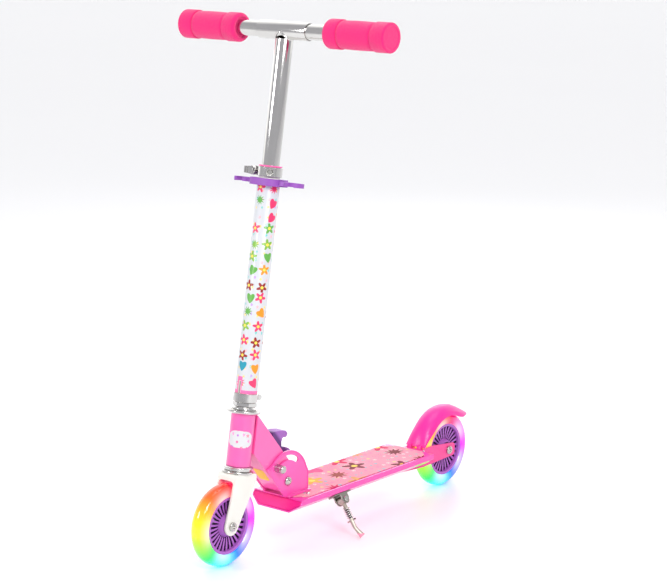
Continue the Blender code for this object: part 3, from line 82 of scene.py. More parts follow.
# %% Column frame
joints = {j["name"]: j for j in frame["joints"]}
COLUMN_FOOT = Vector(joints["steer"]["pos_m"])
UP = Vector(joints["steer"]["axis"]).normalized()
SIDE = Vector((0, 1, 0))
AHEAD = SIDE.cross(UP).normalized()


def place_on_axes(origin, x, y, z):
    """A place whose own axes point along three given directions."""
    return Matrix.Translation(origin) @ Matrix((x, y, z)).transposed().to_4x4()


COLUMN = place_on_axes(COLUMN_FOOT, AHEAD, SIDE, UP)
INTO_COLUMN = COLUMN.inverted()


def column_span(node):
    """The lowest and highest point of a CAD node, measured along the column."""
    heights = [(INTO_COLUMN @ v.co).z for v in frame["nodes"][node].data.vertices]
    return min(heights), max(heights)


def column_radius(node):
    """The largest distance of a CAD node's points from the column's axis."""
    return max((INTO_COLUMN @ v.co).xy.length for v in frame["nodes"][node].data.vertices)


def centre(node):
    low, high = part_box(node)
    return (low + high) / 2


AXLES = {end: centre(f"{end}_tyre") for end in ("front", "rear")}
SIDES = {"left": 1, "right": -1}
print("column foot", COLUMN_FOOT, "axles", AXLES)

# %% [markdown]
# ## Camera, floor and light
# The scooter is seen from its front left, from a little above the handlebar, with a long lens. A big
# soft light stands beside the camera, a second fills the other side, and the floor fades into white.

# %% Camera
camera_data = bpy.data.cameras.new("camera")
camera_data.sensor_width = 36
camera_data.lens = 107.745
camera = add_object("camera", camera_data)
azimuth, elevation, roll = (radians(angle) for angle in (128.7926, 11.532, 0.7382))
level = cos(elevation)
behind = Vector((sin(azimuth) * level, -cos(azimuth) * level, sin(elevation)))
right = (-behind).cross(Vector((0, 0, 1))).normalized()
above = right.cross(-behind)
tilted_right = right * cos(roll) + above * sin(roll)
tilted_above = above * cos(roll) - right * sin(roll)
CAMERA_PLACE = Vector((2.26272, 1.80360, 0.94448))
camera.matrix_world = place_on_axes(CAMERA_PLACE, tilted_right, tilted_above, behind)
camera_data.clip_end = 100
bpy.context.scene.camera = camera


# %% Lights
def area_light(name, place, aim, size, power):
    """A square soft light that points from its place at its aim."""
    data = bpy.data.lights.new(name, "AREA")
    data.size = size
    data.energy = power
    light = add_object(name, data)
    light.location = place
    light.rotation_euler = (Vector(aim) - Vector(place)).to_track_quat("-Z", "Y").to_euler()


area_light("key", (1.5, 2.3, 2.0), (0, 0, 0.3), 1.2, 56)
area_light("fill", (2.6, -1.2, 1.4), (0, 0, 0.35), 0.7, 22)
area_light("top", (-0.4, 0.3, 2.6), (0, 0, 0.2), 1.4, 12)
area_light("back", (-2.4, -1.6, 1.4), (0, 0, 0.3), 1.2, 5)

# %% World and floor
def studio_world(far_side):
    """White behind the scooter and greyer in front of it, for the chrome to mirror."""
    world = bpy.data.worlds.new("studio")
    world.use_nodes = True
    nodes, link = world.node_tree.nodes, world.node_tree.links.new
    place = nodes.new("ShaderNodeTexCoord")
    facing = nodes.new("ShaderNodeVectorMath")
    facing.operation = "DOT_PRODUCT"
    facing.inputs[1].default_value = far_side
    tint = nodes.new("ShaderNodeValToRGB")
    shades = ((0.1, (0.34, 0.34, 0.36, 1)), (0.55, (1, 1, 1, 1)))
    for stop, (position, shade) in zip(tint.color_ramp.elements, shades):
        stop.position, stop.color = position, shade
    link(place.outputs["Generated"], facing.inputs[0])
    link(facing.outputs["Value"], tint.inputs[0])
    link(tint.outputs[0], nodes["Background"].inputs["Color"])
    nodes["Background"].inputs["Strength"].default_value = 1.6
    bpy.context.scene.world = world


studio_world(-behind)
bpy.context.scene.view_settings.view_transform = "Standard"

FLOOR_HALF = 14
FLOOR_DROP = 0.4 * MM
corners = [(x * FLOOR_HALF, y * FLOOR_HALF, 0) for x, y in ((-1, -1), (1, -1), (1, 1), (-1, 1))]
floor_mesh = bpy.data.meshes.new("floor")
floor_mesh.from_pydata(corners, [], [(0, 1, 2, 3)])
floor = add_object("floor", floor_mesh)
floor.location.z = -FLOOR_DROP

# %% [markdown]
# ## Shader maths as Python
# A material in Blender is a graph of nodes. Writing `1 - mask * 0.5` is easier to read than wiring two
# Math nodes, so a small class wraps one socket and turns Python's operators into nodes.


# %% A socket that can be calculated with
class Wire:
    """One value in a material's node tree."""

    def __init__(self, tree, socket):
        self.tree = tree
        self.socket = socket

    def math(self, operation, *others):
        return self.tree.node("ShaderNodeMath", {"operation": operation}, self, *others)

    def clamped(self):
        """The value kept between 0 and 1."""
        return self.math("MINIMUM", 1.0).math("MAXIMUM", 0.0)

    def __add__(self, other):
        return self.math("ADD", other)

    __radd__ = __add__

    def __sub__(self, other):
        return self.math("SUBTRACT", other)

    def __rsub__(self, other):
        return self.tree.node("ShaderNodeMath", {"operation": "SUBTRACT"}, other, self)

    def __mul__(self, other):
        return self.math("MULTIPLY", other)

    __rmul__ = __mul__

    def __truediv__(self, other):
        return self.math("DIVIDE", other)

    def __rtruediv__(self, other):
        return self.tree.node("ShaderNodeMath", {"operation": "DIVIDE"}, other, self)

    def __lt__(self, other):
        return self.math("LESS_THAN", other)

    def __gt__(self, other):
        return self.math("GREATER_THAN", other)


LOOKS = {}


class Finish:
    """A material whose nodes are made by short calls. It is kept in LOOKS under its name."""

    def __init__(self, name):
        material = bpy.data.materials.new(name)
        material.use_nodes = True
        LOOKS[name] = material
        self.nodes = material.node_tree.nodes
        self.links = material.node_tree.links
        self.shader = self.nodes["Principled BSDF"]
        self.place = self.node("ShaderNodeTexCoord", {}, output="Object")

    def connect(self, value, socket):
        if isinstance(value, Wire):
            self.links.new(value.socket, socket)
        elif isinstance(value, (tuple, list)) and socket.type == "RGBA":
            socket.default_value = (*value[:3], 1)
        else:
            socket.default_value = value

    def node(self, kind, settings, *values, output=0, **named):
        """Adds a node: its settings first, then its sockets' values or links. Returns one output."""
        made = self.nodes.new(kind)
        for key, value in settings.items():
            if key == "stops":
                self.stops(made.color_ramp, value)
            else:
                setattr(made, key, value)
        for value, socket in zip(values, made.inputs):
            self.connect(value, socket)
        for key, value in named.items():
            self.connect(value, made.inputs[key.replace("_", " ")])
        return Wire(self, made.outputs[output])

    def stops(self, ramp, stops):
        while len(ramp.elements) < len(stops):
            ramp.elements.new(0.5)
        for element, (place, colour) in zip(ramp.elements, stops):
            element.position = place
            element.color = (*colour, 1)

    def noise(self, size, detail=2.0, at=None):
        spot = at or self.place
        return self.node("ShaderNodeTexNoise", {}, Vector=spot, Scale=size, Detail=detail)

    def cells(self, scale):
        named = {"Vector": self.place, "Scale": scale}
        return self.node("ShaderNodeTexVoronoi", {}, output="Distance", **named)

    def ramp(self, value, stops, mode="LINEAR"):
        made = self.node("ShaderNodeValToRGB", {"stops": stops}, value)
        made.socket.node.color_ramp.interpolation = mode
        return made

    def mix(self, factor, first, second):
        made = self.nodes.new("ShaderNodeMix")
        made.data_type = "RGBA"
        self.connect(factor, made.inputs[0])
        self.connect(first, made.inputs[6])
        self.connect(second, made.inputs[7])
        return Wire(self, made.outputs[2])

    def dot(self, point, axis):
        settings = {"operation": "DOT_PRODUCT"}
        return self.node("ShaderNodeVectorMath", settings, point, tuple(axis), output="Value")

    def measured_from(self, point):
        """The place on the object, counted from a point."""
        settings = {"operation": "SUBTRACT"}
        return self.node("ShaderNodeVectorMath", settings, self.place, tuple(point))

    def coordinates(self):
        """Object x, y and z as three wires."""
        return [self.dot(self.place, axis) for axis in ((1, 0, 0), (0, 1, 0), (0, 0, 1))]

    def bump(self, height, strength, distance):
        made = self.node("ShaderNodeBump", {}, Strength=strength, Distance=distance, Height=height)
        self.links.new(made.socket, self.shader.inputs["Normal"])

    def set(self, **values):
        for key, value in values.items():
            self.connect(value, self.shader.inputs[key.replace("_", " ")])


# %% [markdown]
# ## The metals, paints and plastics
# Paint is never one flat colour: the coat is thicker here and there, and its skin has the faint ripple
# of sprayed enamel. Plated steel is streaky and slightly warm. Chrome is almost a mirror, with smudges.


# %% Paints
def darker(colour, share):
    return tuple(c * share for c in colour)


def enamel(name, colour, gloss=0.26):
    look = Finish(name)
    cloud = look.noise(26.0, 3.0)
    ripple = look.noise(900.0)
    dust = look.noise(140.0, 4.0)
    thick = tuple(min(1.0, c * 1.05) for c in colour)
    look.set(Base_Color=look.mix(cloud, darker(colour, 0.86), thick))
    look.set(Roughness=gloss + dust * 0.14, Coat_Weight=0.7, Coat_Roughness=0.08)
    look.bump(ripple, 0.12, 0.0003)


def plastic(name, colour, gloss=0.4, grain=1400.0, depth=0.2):
    look = Finish(name)
    cloud = look.noise(40.0)
    grit = look.noise(grain)
    look.set(Base_Color=look.mix(cloud, darker(colour, 0.9), colour))
    look.set(Roughness=gloss + grit * 0.15)
    look.bump(grit, depth, 0.0002)


# %% Metals
def plated(name, colour, gloss, streak=0.12):
    look = Finish(name)
    stretched = look.node("ShaderNodeMapping", {}, Vector=look.place, Scale=(1.0, 1.0, 0.12))
    brushed = look.noise(900.0, 3.0, stretched)
    smudge = look.noise(55.0, 4.0)
    look.set(Base_Color=look.mix(smudge, darker(colour, 0.9), colour), Metallic=1.0)
    look.set(Roughness=gloss + smudge * streak)
    look.bump(brushed, 0.05, 0.0001)


enamel("deck_paint", (0.96, 0.05, 0.42))
enamel("neck_paint", (0.97, 0.12, 0.43))
# bracket_paint is the deck's pink made a little lighter: painted light on the bracket's face
enamel("bracket_paint", (0.96, 0.075, 0.42))
enamel("tail_paint", (0.94, 0.008, 0.27))
enamel("white_paint", (0.84, 0.83, 0.76), 0.3)
plastic("hot_plastic", (0.95, 0.006, 0.26), 0.3)
plastic("fender_plastic", (0.96, 0.025, 0.35), 0.24, 700.0, 0.1)
plastic("pink_plastic", (0.95, 0.14, 0.42), 0.35)
plastic("purple_plastic", (0.3, 0.085, 0.45), 0.36)
plated("chrome", (0.70, 0.69, 0.67), 0.06, 0.08)
plated("zinc", (0.56, 0.55, 0.52), 0.2)
plated("dull_zinc", (0.36, 0.34, 0.30), 0.28)


def fan_plastic(face, shade, depth):
    """The wheel core's plastic, light on its outer faces, with painted shade (a near-black colour) down
    between the blades.
    """
    look = Finish("fan_plastic")
    _, y, _ = look.coordinates()
    # painted shade: the colour turns near-black deep in the gaps between the blades, where shadow falls
    deep = (y.math("ABSOLUTE") < depth) * 1.0
    grit = look.noise(1300.0)
    look.set(Base_Color=look.mix(deep, look.mix(grit, darker(face, 0.85), face), shade))
    look.set(Roughness=0.3 + grit * 0.15)
    look.bump(grit, 0.15, 0.0002)


# the second colour is the painted shade for the gaps between the blades
fan_plastic((0.44, 0.13, 0.56), (0.035, 0.006, 0.06), 5.4 * MM)
PAD_HEIGHT, PAD_FADE, KNURL_PITCH = 34 * MM, 5 * MM, 2.2 * MM


def lever_plastic(pad, body, pivot, slope):
    """The release lever: its upper part, where the thumb pads are knurled, is lighter as painted light,
    and the body under it is dark as painted shade.
    """
    look = Finish("lever_plastic")
    point = look.measured_from(pivot)
    above = look.dot(point, (-sin(slope), 0, cos(slope)))
    # painted light: the part above PAD_HEIGHT gets the lighter colour, and the rest gets the dark colour
    # as painted shade; the knurl there is real
    lit_knurled_top = ((above - PAD_HEIGHT) / PAD_FADE).clamped()
    along = look.dot(point, (cos(slope), 0, sin(slope)))
    knurl = (along * (TAU / KNURL_PITCH)).math("SINE") * lit_knurled_top
    lit_pad_colour = look.mix(look.noise(200.0), pad, darker(pad, 0.8))
    look.set(Base_Color=look.mix(lit_knurled_top, body, lit_pad_colour))
    look.set(Roughness=0.34 + look.noise(900.0) * 0.2)
    look.bump(knurl, 0.5, 0.0004)


def stand_steel(steel, rubber, foot, spring):
    """The kickstand's leg: worn zinc, painted near-black under its spring as painted shade, with a pink
    pad at its foot.
    """
    look = Finish("stand_steel")
    _, _, z = look.coordinates()
    pad = (z < foot) * 1.0
    # painted shade: the leg is painted near-black where the spring's coils cover it
    painted_shade_under_spring = (z > spring[0]) * (z < spring[1])
    cloud = look.noise(70.0, 4.0)
    wear_and_painted_shade = look.mix(painted_shade_under_spring, look.mix(cloud, darker(steel, 0.7), steel), (0.03, 0.02, 0.015))
    look.set(Base_Color=look.mix(pad, wear_and_painted_shade, rubber))
    look.set(Metallic=1.0 - pad, Roughness=0.26 + cloud * 0.2 + pad * 0.25)
    look.bump(look.noise(700.0), 0.1, 0.0002)


FOLD = Vector(joints["fold"]["pos_m"])
NECK_SLOPE = radians(49.5)
# first colour: painted light on the lever's upper part; second: painted shade on its body below
lever_plastic((0.40, 0.15, 0.55), (0.10, 0.022, 0.17), FOLD, NECK_SLOPE)
spring_low, spring_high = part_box("kickstand_spring")
SPRING_SPAN = (spring_low.z + 3 * MM, spring_high.z - 3 * MM)
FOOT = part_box("kickstand_leg")[0].z + 7 * MM
stand_steel((0.62, 0.56, 0.48), (0.90, 0.30, 0.42), FOOT, SPRING_SPAN)
print(len(LOOKS), "plain finishes")


# %% [markdown]
# ## Foam, light-up tyres and printed film
# The grips are closed-cell foam, so they get fine pores and no shine. The tyres are clear plastic lit
# from the hub: the colour runs round the wheel like a rainbow, and is hottest by the core.


# %% Foam
def foam(name, colour):
    look = Finish(name)
    pores = look.cells(1500.0)
    lumps = look.noise(320.0, 3.0)
    look.set(Base_Color=look.mix(pores, darker(colour, 0.72), colour))
    look.set(Roughness=0.78 + lumps * 0.15, Sheen_Weight=0.25)
    look.bump(pores * 0.6 + lumps, 0.7, 0.0008)


foam("foam", (0.92, 0.006, 0.19))

# %% Glowing tyre
RAINBOW = [
    (0.0, (1.0, 0.0, 0.0)),
    (0.10, (1.0, 0.10, 0.0)),
    (0.19, (1.0, 0.50, 0.0)),
    (0.28, (0.40, 1.0, 0.0)),
    (0.37, (0.0, 0.85, 0.10)),
    (0.46, (0.0, 0.75, 0.95)),
    (0.56, (0.0, 0.15, 1.0)),
    (0.68, (0.22, 0.01, 1.0)),
    (0.80, (1.0, 0.0, 0.55)),
    (1.0, (1.0, 0.0, 0.0)),
]
HOT_RADIUS, HOT_FADE, LAMPS = 58 * MM, 13 * MM, 5


def glowing_tyre(name, axle, bright):
    """Clear plastic that glows in rainbow colours, whitest by the lamps next to the core."""
    look = Finish(name)
    x, _, z = look.coordinates()
    ahead, up = x - axle.x, z - axle.z
    turn = ahead.math("ARCTAN2", up) / TAU
    colour = look.ramp(turn.math("FRACT"), RAINBOW)
    radius = (ahead * ahead + up * up).math("SQRT")
    hot = ((HOT_RADIUS - radius) / HOT_FADE).clamped()
    lamps = ((turn * (TAU * LAMPS)).math("SINE") + 1.0) * 0.5
    white = look.mix(hot * lamps * 0.8, colour, (1.0, 1.0, 1.0))
    swirl = look.noise(60.0, 3.0)
    look.set(Base_Color=look.mix(0.75, (0.04, 0.04, 0.05), colour))
    look.set(Roughness=0.08 + swirl * 0.12, Coat_Weight=0.6, IOR=1.46)
    look.set(Emission_Color=white, Emission_Strength=bright)
    look.bump(swirl, 0.08, 0.001)


for end, axle in AXLES.items():
    glowing_tyre(f"{end}_glow", axle, 0.8)


# %% [markdown]
# ## Generic printed motifs
# The column's film and the deck's grip sheet carry printed flowers, hearts and stars. Each is drawn by
# formulas in a cell of a grid: random numbers for the cell pick its kind, colour, turn and place.


# %% Motifs in a grid of cells
def cell_motifs(look, u, v, seed, colours, size):
    """Draws one motif in each cell of the plane (u, v). Returns its mask and its colour."""
    cell_u, cell_v = u.math("FLOOR"), v.math("FLOOR")
    spot = look.node("ShaderNodeCombineXYZ", {}, cell_u + seed, cell_v, 0.0)
    chance = look.node("ShaderNodeTexWhiteNoise", {}, Vector=spot, output="Value")
    other = look.node("ShaderNodeTexWhiteNoise", {}, Vector=spot, output="Color")
    shift_u = look.dot(other, (1, 0, 0)) - 0.5
    shift_v = look.dot(other, (0, 1, 0)) - 0.5
    du = u - cell_u - 0.5 - shift_u * 0.3
    dv = v - cell_v - 0.5 - shift_v * 0.3
    turn = look.dot(other, (0, 0, 1)) * 1.6 - 0.8
    level, tilt = turn.math("COSINE"), turn.math("SINE")
    a = du * level - dv * tilt
    b = du * tilt + dv * level
    radius = (a * a + b * b).math("SQRT") / size
    angle = b.math("ARCTAN2", a)
    flower = radius < (angle * 5.0).math("COSINE") * 0.26 + 0.66
    star = radius < (angle * 5.0 + 1.57).math("COSINE").math("ABSOLUTE") * -0.42 + 0.82
    lift = b / size + 0.15 - (a / size).math("ABSOLUTE") * 0.75
    heart = (a / size) * (a / size) * 1.3 + lift * lift * 1.3 < 0.62
    is_flower = chance < 0.42
    is_star = (chance > 0.42) * (chance < 0.66)
    is_heart = (chance > 0.66) * (chance < 0.9)
    mask = flower * is_flower + star * is_star + heart * is_heart
    eye = (radius < 0.24) * is_flower
    pick = look.dot(other, (0.5, 0.5, 0.0))
    ink = look.ramp(pick, colours, "CONSTANT")
    return mask, look.mix(eye, ink, (1.0, 0.75, 0.1))


def spread(colours):
    """Ramp stops that give each ink about the same share of the motifs."""
    low, high = 0.12, 0.88
    step = (high - low) / len(colours)
    return [(0.0 if i == 0 else low + step * i, c) for i, c in enumerate(colours)]


# %% Printed film on the column
TUBE_LOW, _ = column_span("printed_sleeve")
SLEEVE_RADIUS = column_radius("printed_sleeve")
MOTIFS_AROUND = 5
MOTIF_STEP, DOT_STEP = 19.5 * MM, 12.5 * MM


def printed_film():
    """White film with a grid of big motifs over a finer grid of small ones, and a pink lower hem."""
    look = Finish("printed_film")
    point = look.measured_from(COLUMN_FOOT)
    height = look.dot(point, UP)
    ahead, side = look.dot(point, AHEAD), look.dot(point, SIDE)
    around = side.math("ARCTAN2", ahead)
    arc = around * (MOTIFS_AROUND / TAU) + 0.5
    big = [(0.30, 0.01, 0.01), (0.22, 0.46, 0.05), (0.80, 0.03, 0.14), (0.90, 0.30, 0.01)]
    big += [(0.12, 0.40, 0.06), (0.01, 0.30, 0.42)]
    mask, ink = cell_motifs(look, arc + 40.0, height / MOTIF_STEP, 3.0, spread(big), 0.46)
    small = [(0.95, 0.35, 0.55), (0.98, 0.70, 0.10), (0.10, 0.60, 0.55), (0.55, 0.30, 0.75)]
    finer = (arc * 2.0 + 40.0, height / DOT_STEP + 0.5)
    dots, dot_ink = cell_motifs(look, *finer, 9.0, spread(small), 0.24)
    paper = look.mix(look.noise(70.0), (0.60, 0.62, 0.65), (0.66, 0.67, 0.70))
    colour = look.mix(dots * 0.85, paper, dot_ink)
    colour = look.mix(mask, colour, ink)
    hem = (height < TUBE_LOW + 5 * MM) * 1.0
    beside_slot = around.math("ABSOLUTE") * SLEEVE_RADIUS < 4.2 * MM
    slot = beside_slot * (height < TUBE_LOW + 24 * MM)
    edge = (hem + slot).math("MINIMUM", 1.0)
    colour = look.mix(edge, colour, (0.98, 0.16, 0.42))
    look.set(Base_Color=colour, Roughness=0.34 + look.noise(200.0) * 0.1, Coat_Weight=0.2)
    look.bump(mask, 0.06, 0.0001)


printed_film()


# %% Printed grip sheet
def printed_grip():
    """The deck's gritty sheet: large motifs and fine dots on a pale pink ground."""
    look = Finish("printed_grip")
    x, y, _ = look.coordinates()
    pale = look.mix(look.noise(18.0, 3.0), (0.86, 0.22, 0.33), (0.92, 0.46, 0.52))
    large = [(0.90, 0.45, 0.03), (0.16, 0.02, 0.015), (0.75, 0.35, 0.12), (0.70, 0.01, 0.10)]
    large += [(0.30, 0.05, 0.02), (0.90, 0.08, 0.25)]
    wide = (x / 0.052 + 20.3, y / 0.044 + 20.5)
    mask, ink = cell_motifs(look, *wide, 5.0, spread(large), 0.44)
    small = [(0.98, 0.80, 0.85), (0.98, 0.20, 0.45), (0.10, 0.55, 0.60), (0.98, 0.75, 0.2)]
    fine = (x / 0.0135 + 50.1, y / 0.0135 + 50.6)
    dots, dot_ink = cell_motifs(look, *fine, 2.0, spread(small), 0.3)
    colour = look.mix(dots * 0.8, pale, dot_ink)
    colour = look.mix(mask, colour, ink)
    grit = look.cells(1100.0)
    colour = look.mix(grit * 0.25, colour, (0.55, 0.12, 0.25))
    look.set(Base_Color=colour, Roughness=0.62 + grit * 0.25)
    look.bump(grit, 0.5, 0.0004)


printed_grip()


def plain_floor():
    look = Finish("plain_floor")
    shade = look.mix(look.noise(0.8), (0.93, 0.93, 0.935), (0.95, 0.95, 0.95))
    look.set(Base_Color=shade, Roughness=0.42)


plain_floor()
floor.data.materials.append(LOOKS["plain_floor"])

# %% [markdown]
# ## Cleaning up the CAD pieces
# A CAD node arrives as loose triangles. A copy is welded together, its flat areas become single faces,
# and its sharp edges get a narrow rounded bevel, which catches the light on pressed or moulded parts.

# %% Which finish and edge each CAD node gets
DRESS = {
    "deck_pan": ("deck_paint", 0.6),
    "deck_front_cap": ("hot_plastic", 0.8),
    "grip_sheet": ("printed_grip", 0.15),
    "hinge_bracket": ("bracket_paint", 0.6),
    "neck_frame": ("neck_paint", 0.5),
    "rear_fork": ("tail_paint", 0.6),
    "fork": ("white_paint", 0.7),
    "handle_holder": ("purple_plastic", 0.7),
    "release_lever": ("lever_plastic", 1.2),
    "height_clamp": ("chrome", 0.5),
    "lower_clamp": ("chrome", 0.4),
    "quick_release_lever": ("chrome", 0.4),
    "headset_locknut": ("chrome", 0.5),
    "kickstand_bracket": ("dull_zinc", 0.4),
    "kickstand_leg": ("stand_steel", 0.0),
    "height_bushing": ("pink_plastic", 0.3),
    "lower_clamp_bolt": ("chrome", 0.3),
    "clamp_skewer": ("chrome", 0.3),
    "lock_pin": ("zinc", 0.3),
    "fender": ("fender_plastic", 0.5),
}


def welded_copy(node):
    """The CAD node's shape as one welded bmesh whose flat areas are single faces."""
    bm = bmesh.new()
    bm.from_mesh(frame["nodes"][node].data)
    bmesh.ops.remove_doubles(bm, verts=bm.verts, dist=2e-6)
    bmesh.ops.dissolve_degenerate(bm, edges=bm.edges, dist=1e-6)
    bmesh.ops.dissolve_limit(bm, angle_limit=radians(0.6), verts=bm.verts, edges=bm.edges)
    return bm


def finish_shape(bm, place):
    """Points every face outwards and moves the shape to its place."""
    bmesh.ops.recalc_face_normals(bm, faces=bm.faces)
    bmesh.ops.transform(bm, matrix=place, verts=bm.verts)


def mesh_from(bm, name):
    mesh = bpy.data.meshes.new(name)
    bm.to_mesh(mesh)
    bm.free()
    return mesh


def piece_from(bm, name, look, sharp=35):
    """An object with the bmesh's shape, a finish, and shading that breaks at its sharp edges."""
    mesh = mesh_from(bm, name)
    mesh.shade_smooth()
    mesh.set_sharp_from_angle(angle=radians(sharp))
    mesh.materials.append(LOOKS[look])
    return add_object(name, mesh)


def body_of(node):
    return frame["nodes"][node]["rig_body"]


def stand_for(piece, node):
    """The piece takes the place of a CAD node and moves with its body."""
    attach(piece, body_of(node))
    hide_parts(node)
    return piece


# %% Clean copies
def clean_piece(node, look, edge):
    """A cleaned copy of a CAD node, with a narrow bevel that keeps its flats flat."""
    clean = piece_from(welded_copy(node), f"{node}_finished", look)
    if edge:
        bevel = clean.modifiers.new("edge", "BEVEL")
        bevel.width = edge * MM
        bevel.segments = 2
        bevel.limit_method = "ANGLE"
        bevel.angle_limit = radians(40)
        bevel.harden_normals = True
    stand_for(clean, node)


for node, (look, edge) in DRESS.items():
    clean_piece(node, look, edge)
print(len(DRESS), "CAD pieces cleaned up and softened")

# %% [markdown]
# ## Turned parts
# Tubes, cups, bolts and grips are bodies of revolution. A turned piece is a profile of (radius, height)
# points spun about an axis, as on a lathe, with as many segments as it needs to look round.


# %% A lathe
def lathe(name, profile, look, place, segments=96):
    """Spins a closed profile about local Z and moves it to its place."""
    bm = bmesh.new()
    rings = []
    turns = [TAU * i / segments for i in range(segments)]
    for radius, height in profile:
        if radius < 1e-7:
            rings.append([bm.verts.new((0, 0, height))] * segments)
            continue
        ring = [(radius * cos(a), radius * sin(a), height) for a in turns]
        rings.append([bm.verts.new(spot) for spot in ring])
    for low, high in zip(rings, rings[1:] + rings[:1]):
        for i in range(segments):
            j = (i + 1) % segments
            corners = list(dict.fromkeys((low[i], low[j], high[j], high[i])))
            if len(corners) > 2:
                bm.faces.new(corners)
    bmesh.ops.remove_doubles(bm, verts=bm.verts, dist=1e-7)
    finish_shape(bm, place)
    return piece_from(bm, name, look)


def round_corners(profile, radius, steps=4):
    """The same closed profile with its corners rounded, apart from those on the axis."""
    soft = []
    for i, corner in enumerate(profile):
        here = Vector(corner)
        if here.x < 1e-7:
            soft.append(corner)
            continue
        back = Vector(profile[i - 1]) - here
        ahead = Vector(profile[(i + 1) % len(profile)]) - here
        reach = min(radius, back.length * 0.45, ahead.length * 0.45)
        start, stop = here + back.normalized() * reach, here + ahead.normalized() * reach
        for step in range(steps + 1):
            t = step / steps
            soft.append(tuple(start * (1 - t) ** 2 + here * 2 * t * (1 - t) + stop * t**2))
    return soft


def tube_profile(inner, outer, low, high, edge=0.3 * MM):
    """The section of a tube's wall, with rounded ends."""
    return round_corners([(inner, low), (outer, low), (outer, high), (inner, high)], edge)


# %% [markdown]
# ## Wheels
# Each wheel has a smooth clear tyre on a purple core, whose thin fan blades leave narrow openings. The
# blades repeat round the hub, so Geometry Nodes place copies of one blade on the points of a circle.

# %% Tyre and rims
ACROSS = Matrix.Rotation(-pi / 2, 4, "X")
tyre_low, tyre_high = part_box("rear_tyre")
core_low, core_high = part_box("rear_wheel_core")
TYRE_RADIUS = (tyre_high.z - tyre_low.z) / 2
TYRE_HALF = (tyre_high.y - tyre_low.y) / 2
CORE_RADIUS = (core_high.z - core_low.z) / 2
RIM_INNER = CORE_RADIUS - 4.5 * MM
HUB_RADIUS = 15.5 * MM
HUB_BORE = 11.3 * MM


def wheel_place(end):
    return Matrix.Translation(AXLES[end]) @ ACROSS


def tyre(end):
    bore = CORE_RADIUS + 0.3 * MM
    tread = TYRE_RADIUS - bore
    half = TYRE_HALF - 0.3 * MM
    wall = [(bore, half - 1.2 * MM), (bore + 0.8 * MM, half - 0.3 * MM), (bore + 0.35 * tread, half)]
    profile = [(radius, -y) for radius, y in wall]
    for i in range(1, 24):
        angle = pi * i / 24
        bulge = 0.45 + 0.5495 * sin(angle) ** 0.85
        profile.append((bore + tread * bulge, -half * cos(angle)))
    profile += reversed(wall)
    ring = lathe(f"{end}_tyre_finished", profile, f"{end}_glow", wheel_place(end), 160)
    stand_for(ring, f"{end}_tyre")


def core(end):
    """The core's rim and hub. The fan between them follows in its own cell."""
    half, place = TYRE_HALF, wheel_place(end)
    seat = CORE_RADIUS - 0.05 * MM
    rim = [(RIM_INNER, -half + 2 * MM), (seat, -half + 1.5 * MM)]
    rim += [(seat, half - 1.5 * MM), (RIM_INNER, half - 2 * MM)]
    rim_ring = lathe(f"{end}_rim", round_corners(rim, 0.8 * MM), "fan_plastic", place, 128)
    face, waist = HUB_RADIUS - 1.5 * MM, HUB_RADIUS + 2.6 * MM
    hub = [(HUB_BORE, -half), (face, -half), (waist, -3 * MM)]
    hub += [(waist, 3 * MM), (face, half), (HUB_BORE, half)]
    hub_ring = lathe(f"{end}_hub", round_corners(hub, 0.8 * MM), "fan_plastic", place)
    stand_for(rim_ring, f"{end}_wheel_core")
    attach(hub_ring, body_of(f"{end}_wheel_core"))


for end in AXLES:
    tyre(end)
    core(end)


# %% Fan blades by Geometry Nodes
def join_rings(bm, low, high):
    """Faces between two rings of the same number of points."""
    count = len(low)
    for k in range(count):
        bm.faces.new((low[k], low[(k + 1) % count], high[(k + 1) % count], high[k]))


def blade_mesh(inner, outer, thick, deep):
    """One thin curved blade, from the hub to the rim, along local +X."""
    bm = bmesh.new()
    rows = []
    for i in range(9):
        t = i / 8
        x = inner + (outer - inner) * t
        bend = 0.5 * MM * sin(pi * t)
        half = deep / 2
        wide = thick * (0.55 + 0.45 * t) / 2
        corners = ((-1, -half), (1, -half), (1, half), (-1, half))
        rows.append([bm.verts.new((x, bend + s * wide, z)) for s, z in corners])
    for low, high in zip(rows, rows[1:]):
        join_rings(bm, low, high)
    bm.faces.new(rows[0][::-1])
    bm.faces.new(rows[-1])
    bmesh.ops.recalc_face_normals(bm, faces=bm.faces)
    return mesh_from(bm, "fan_blade")


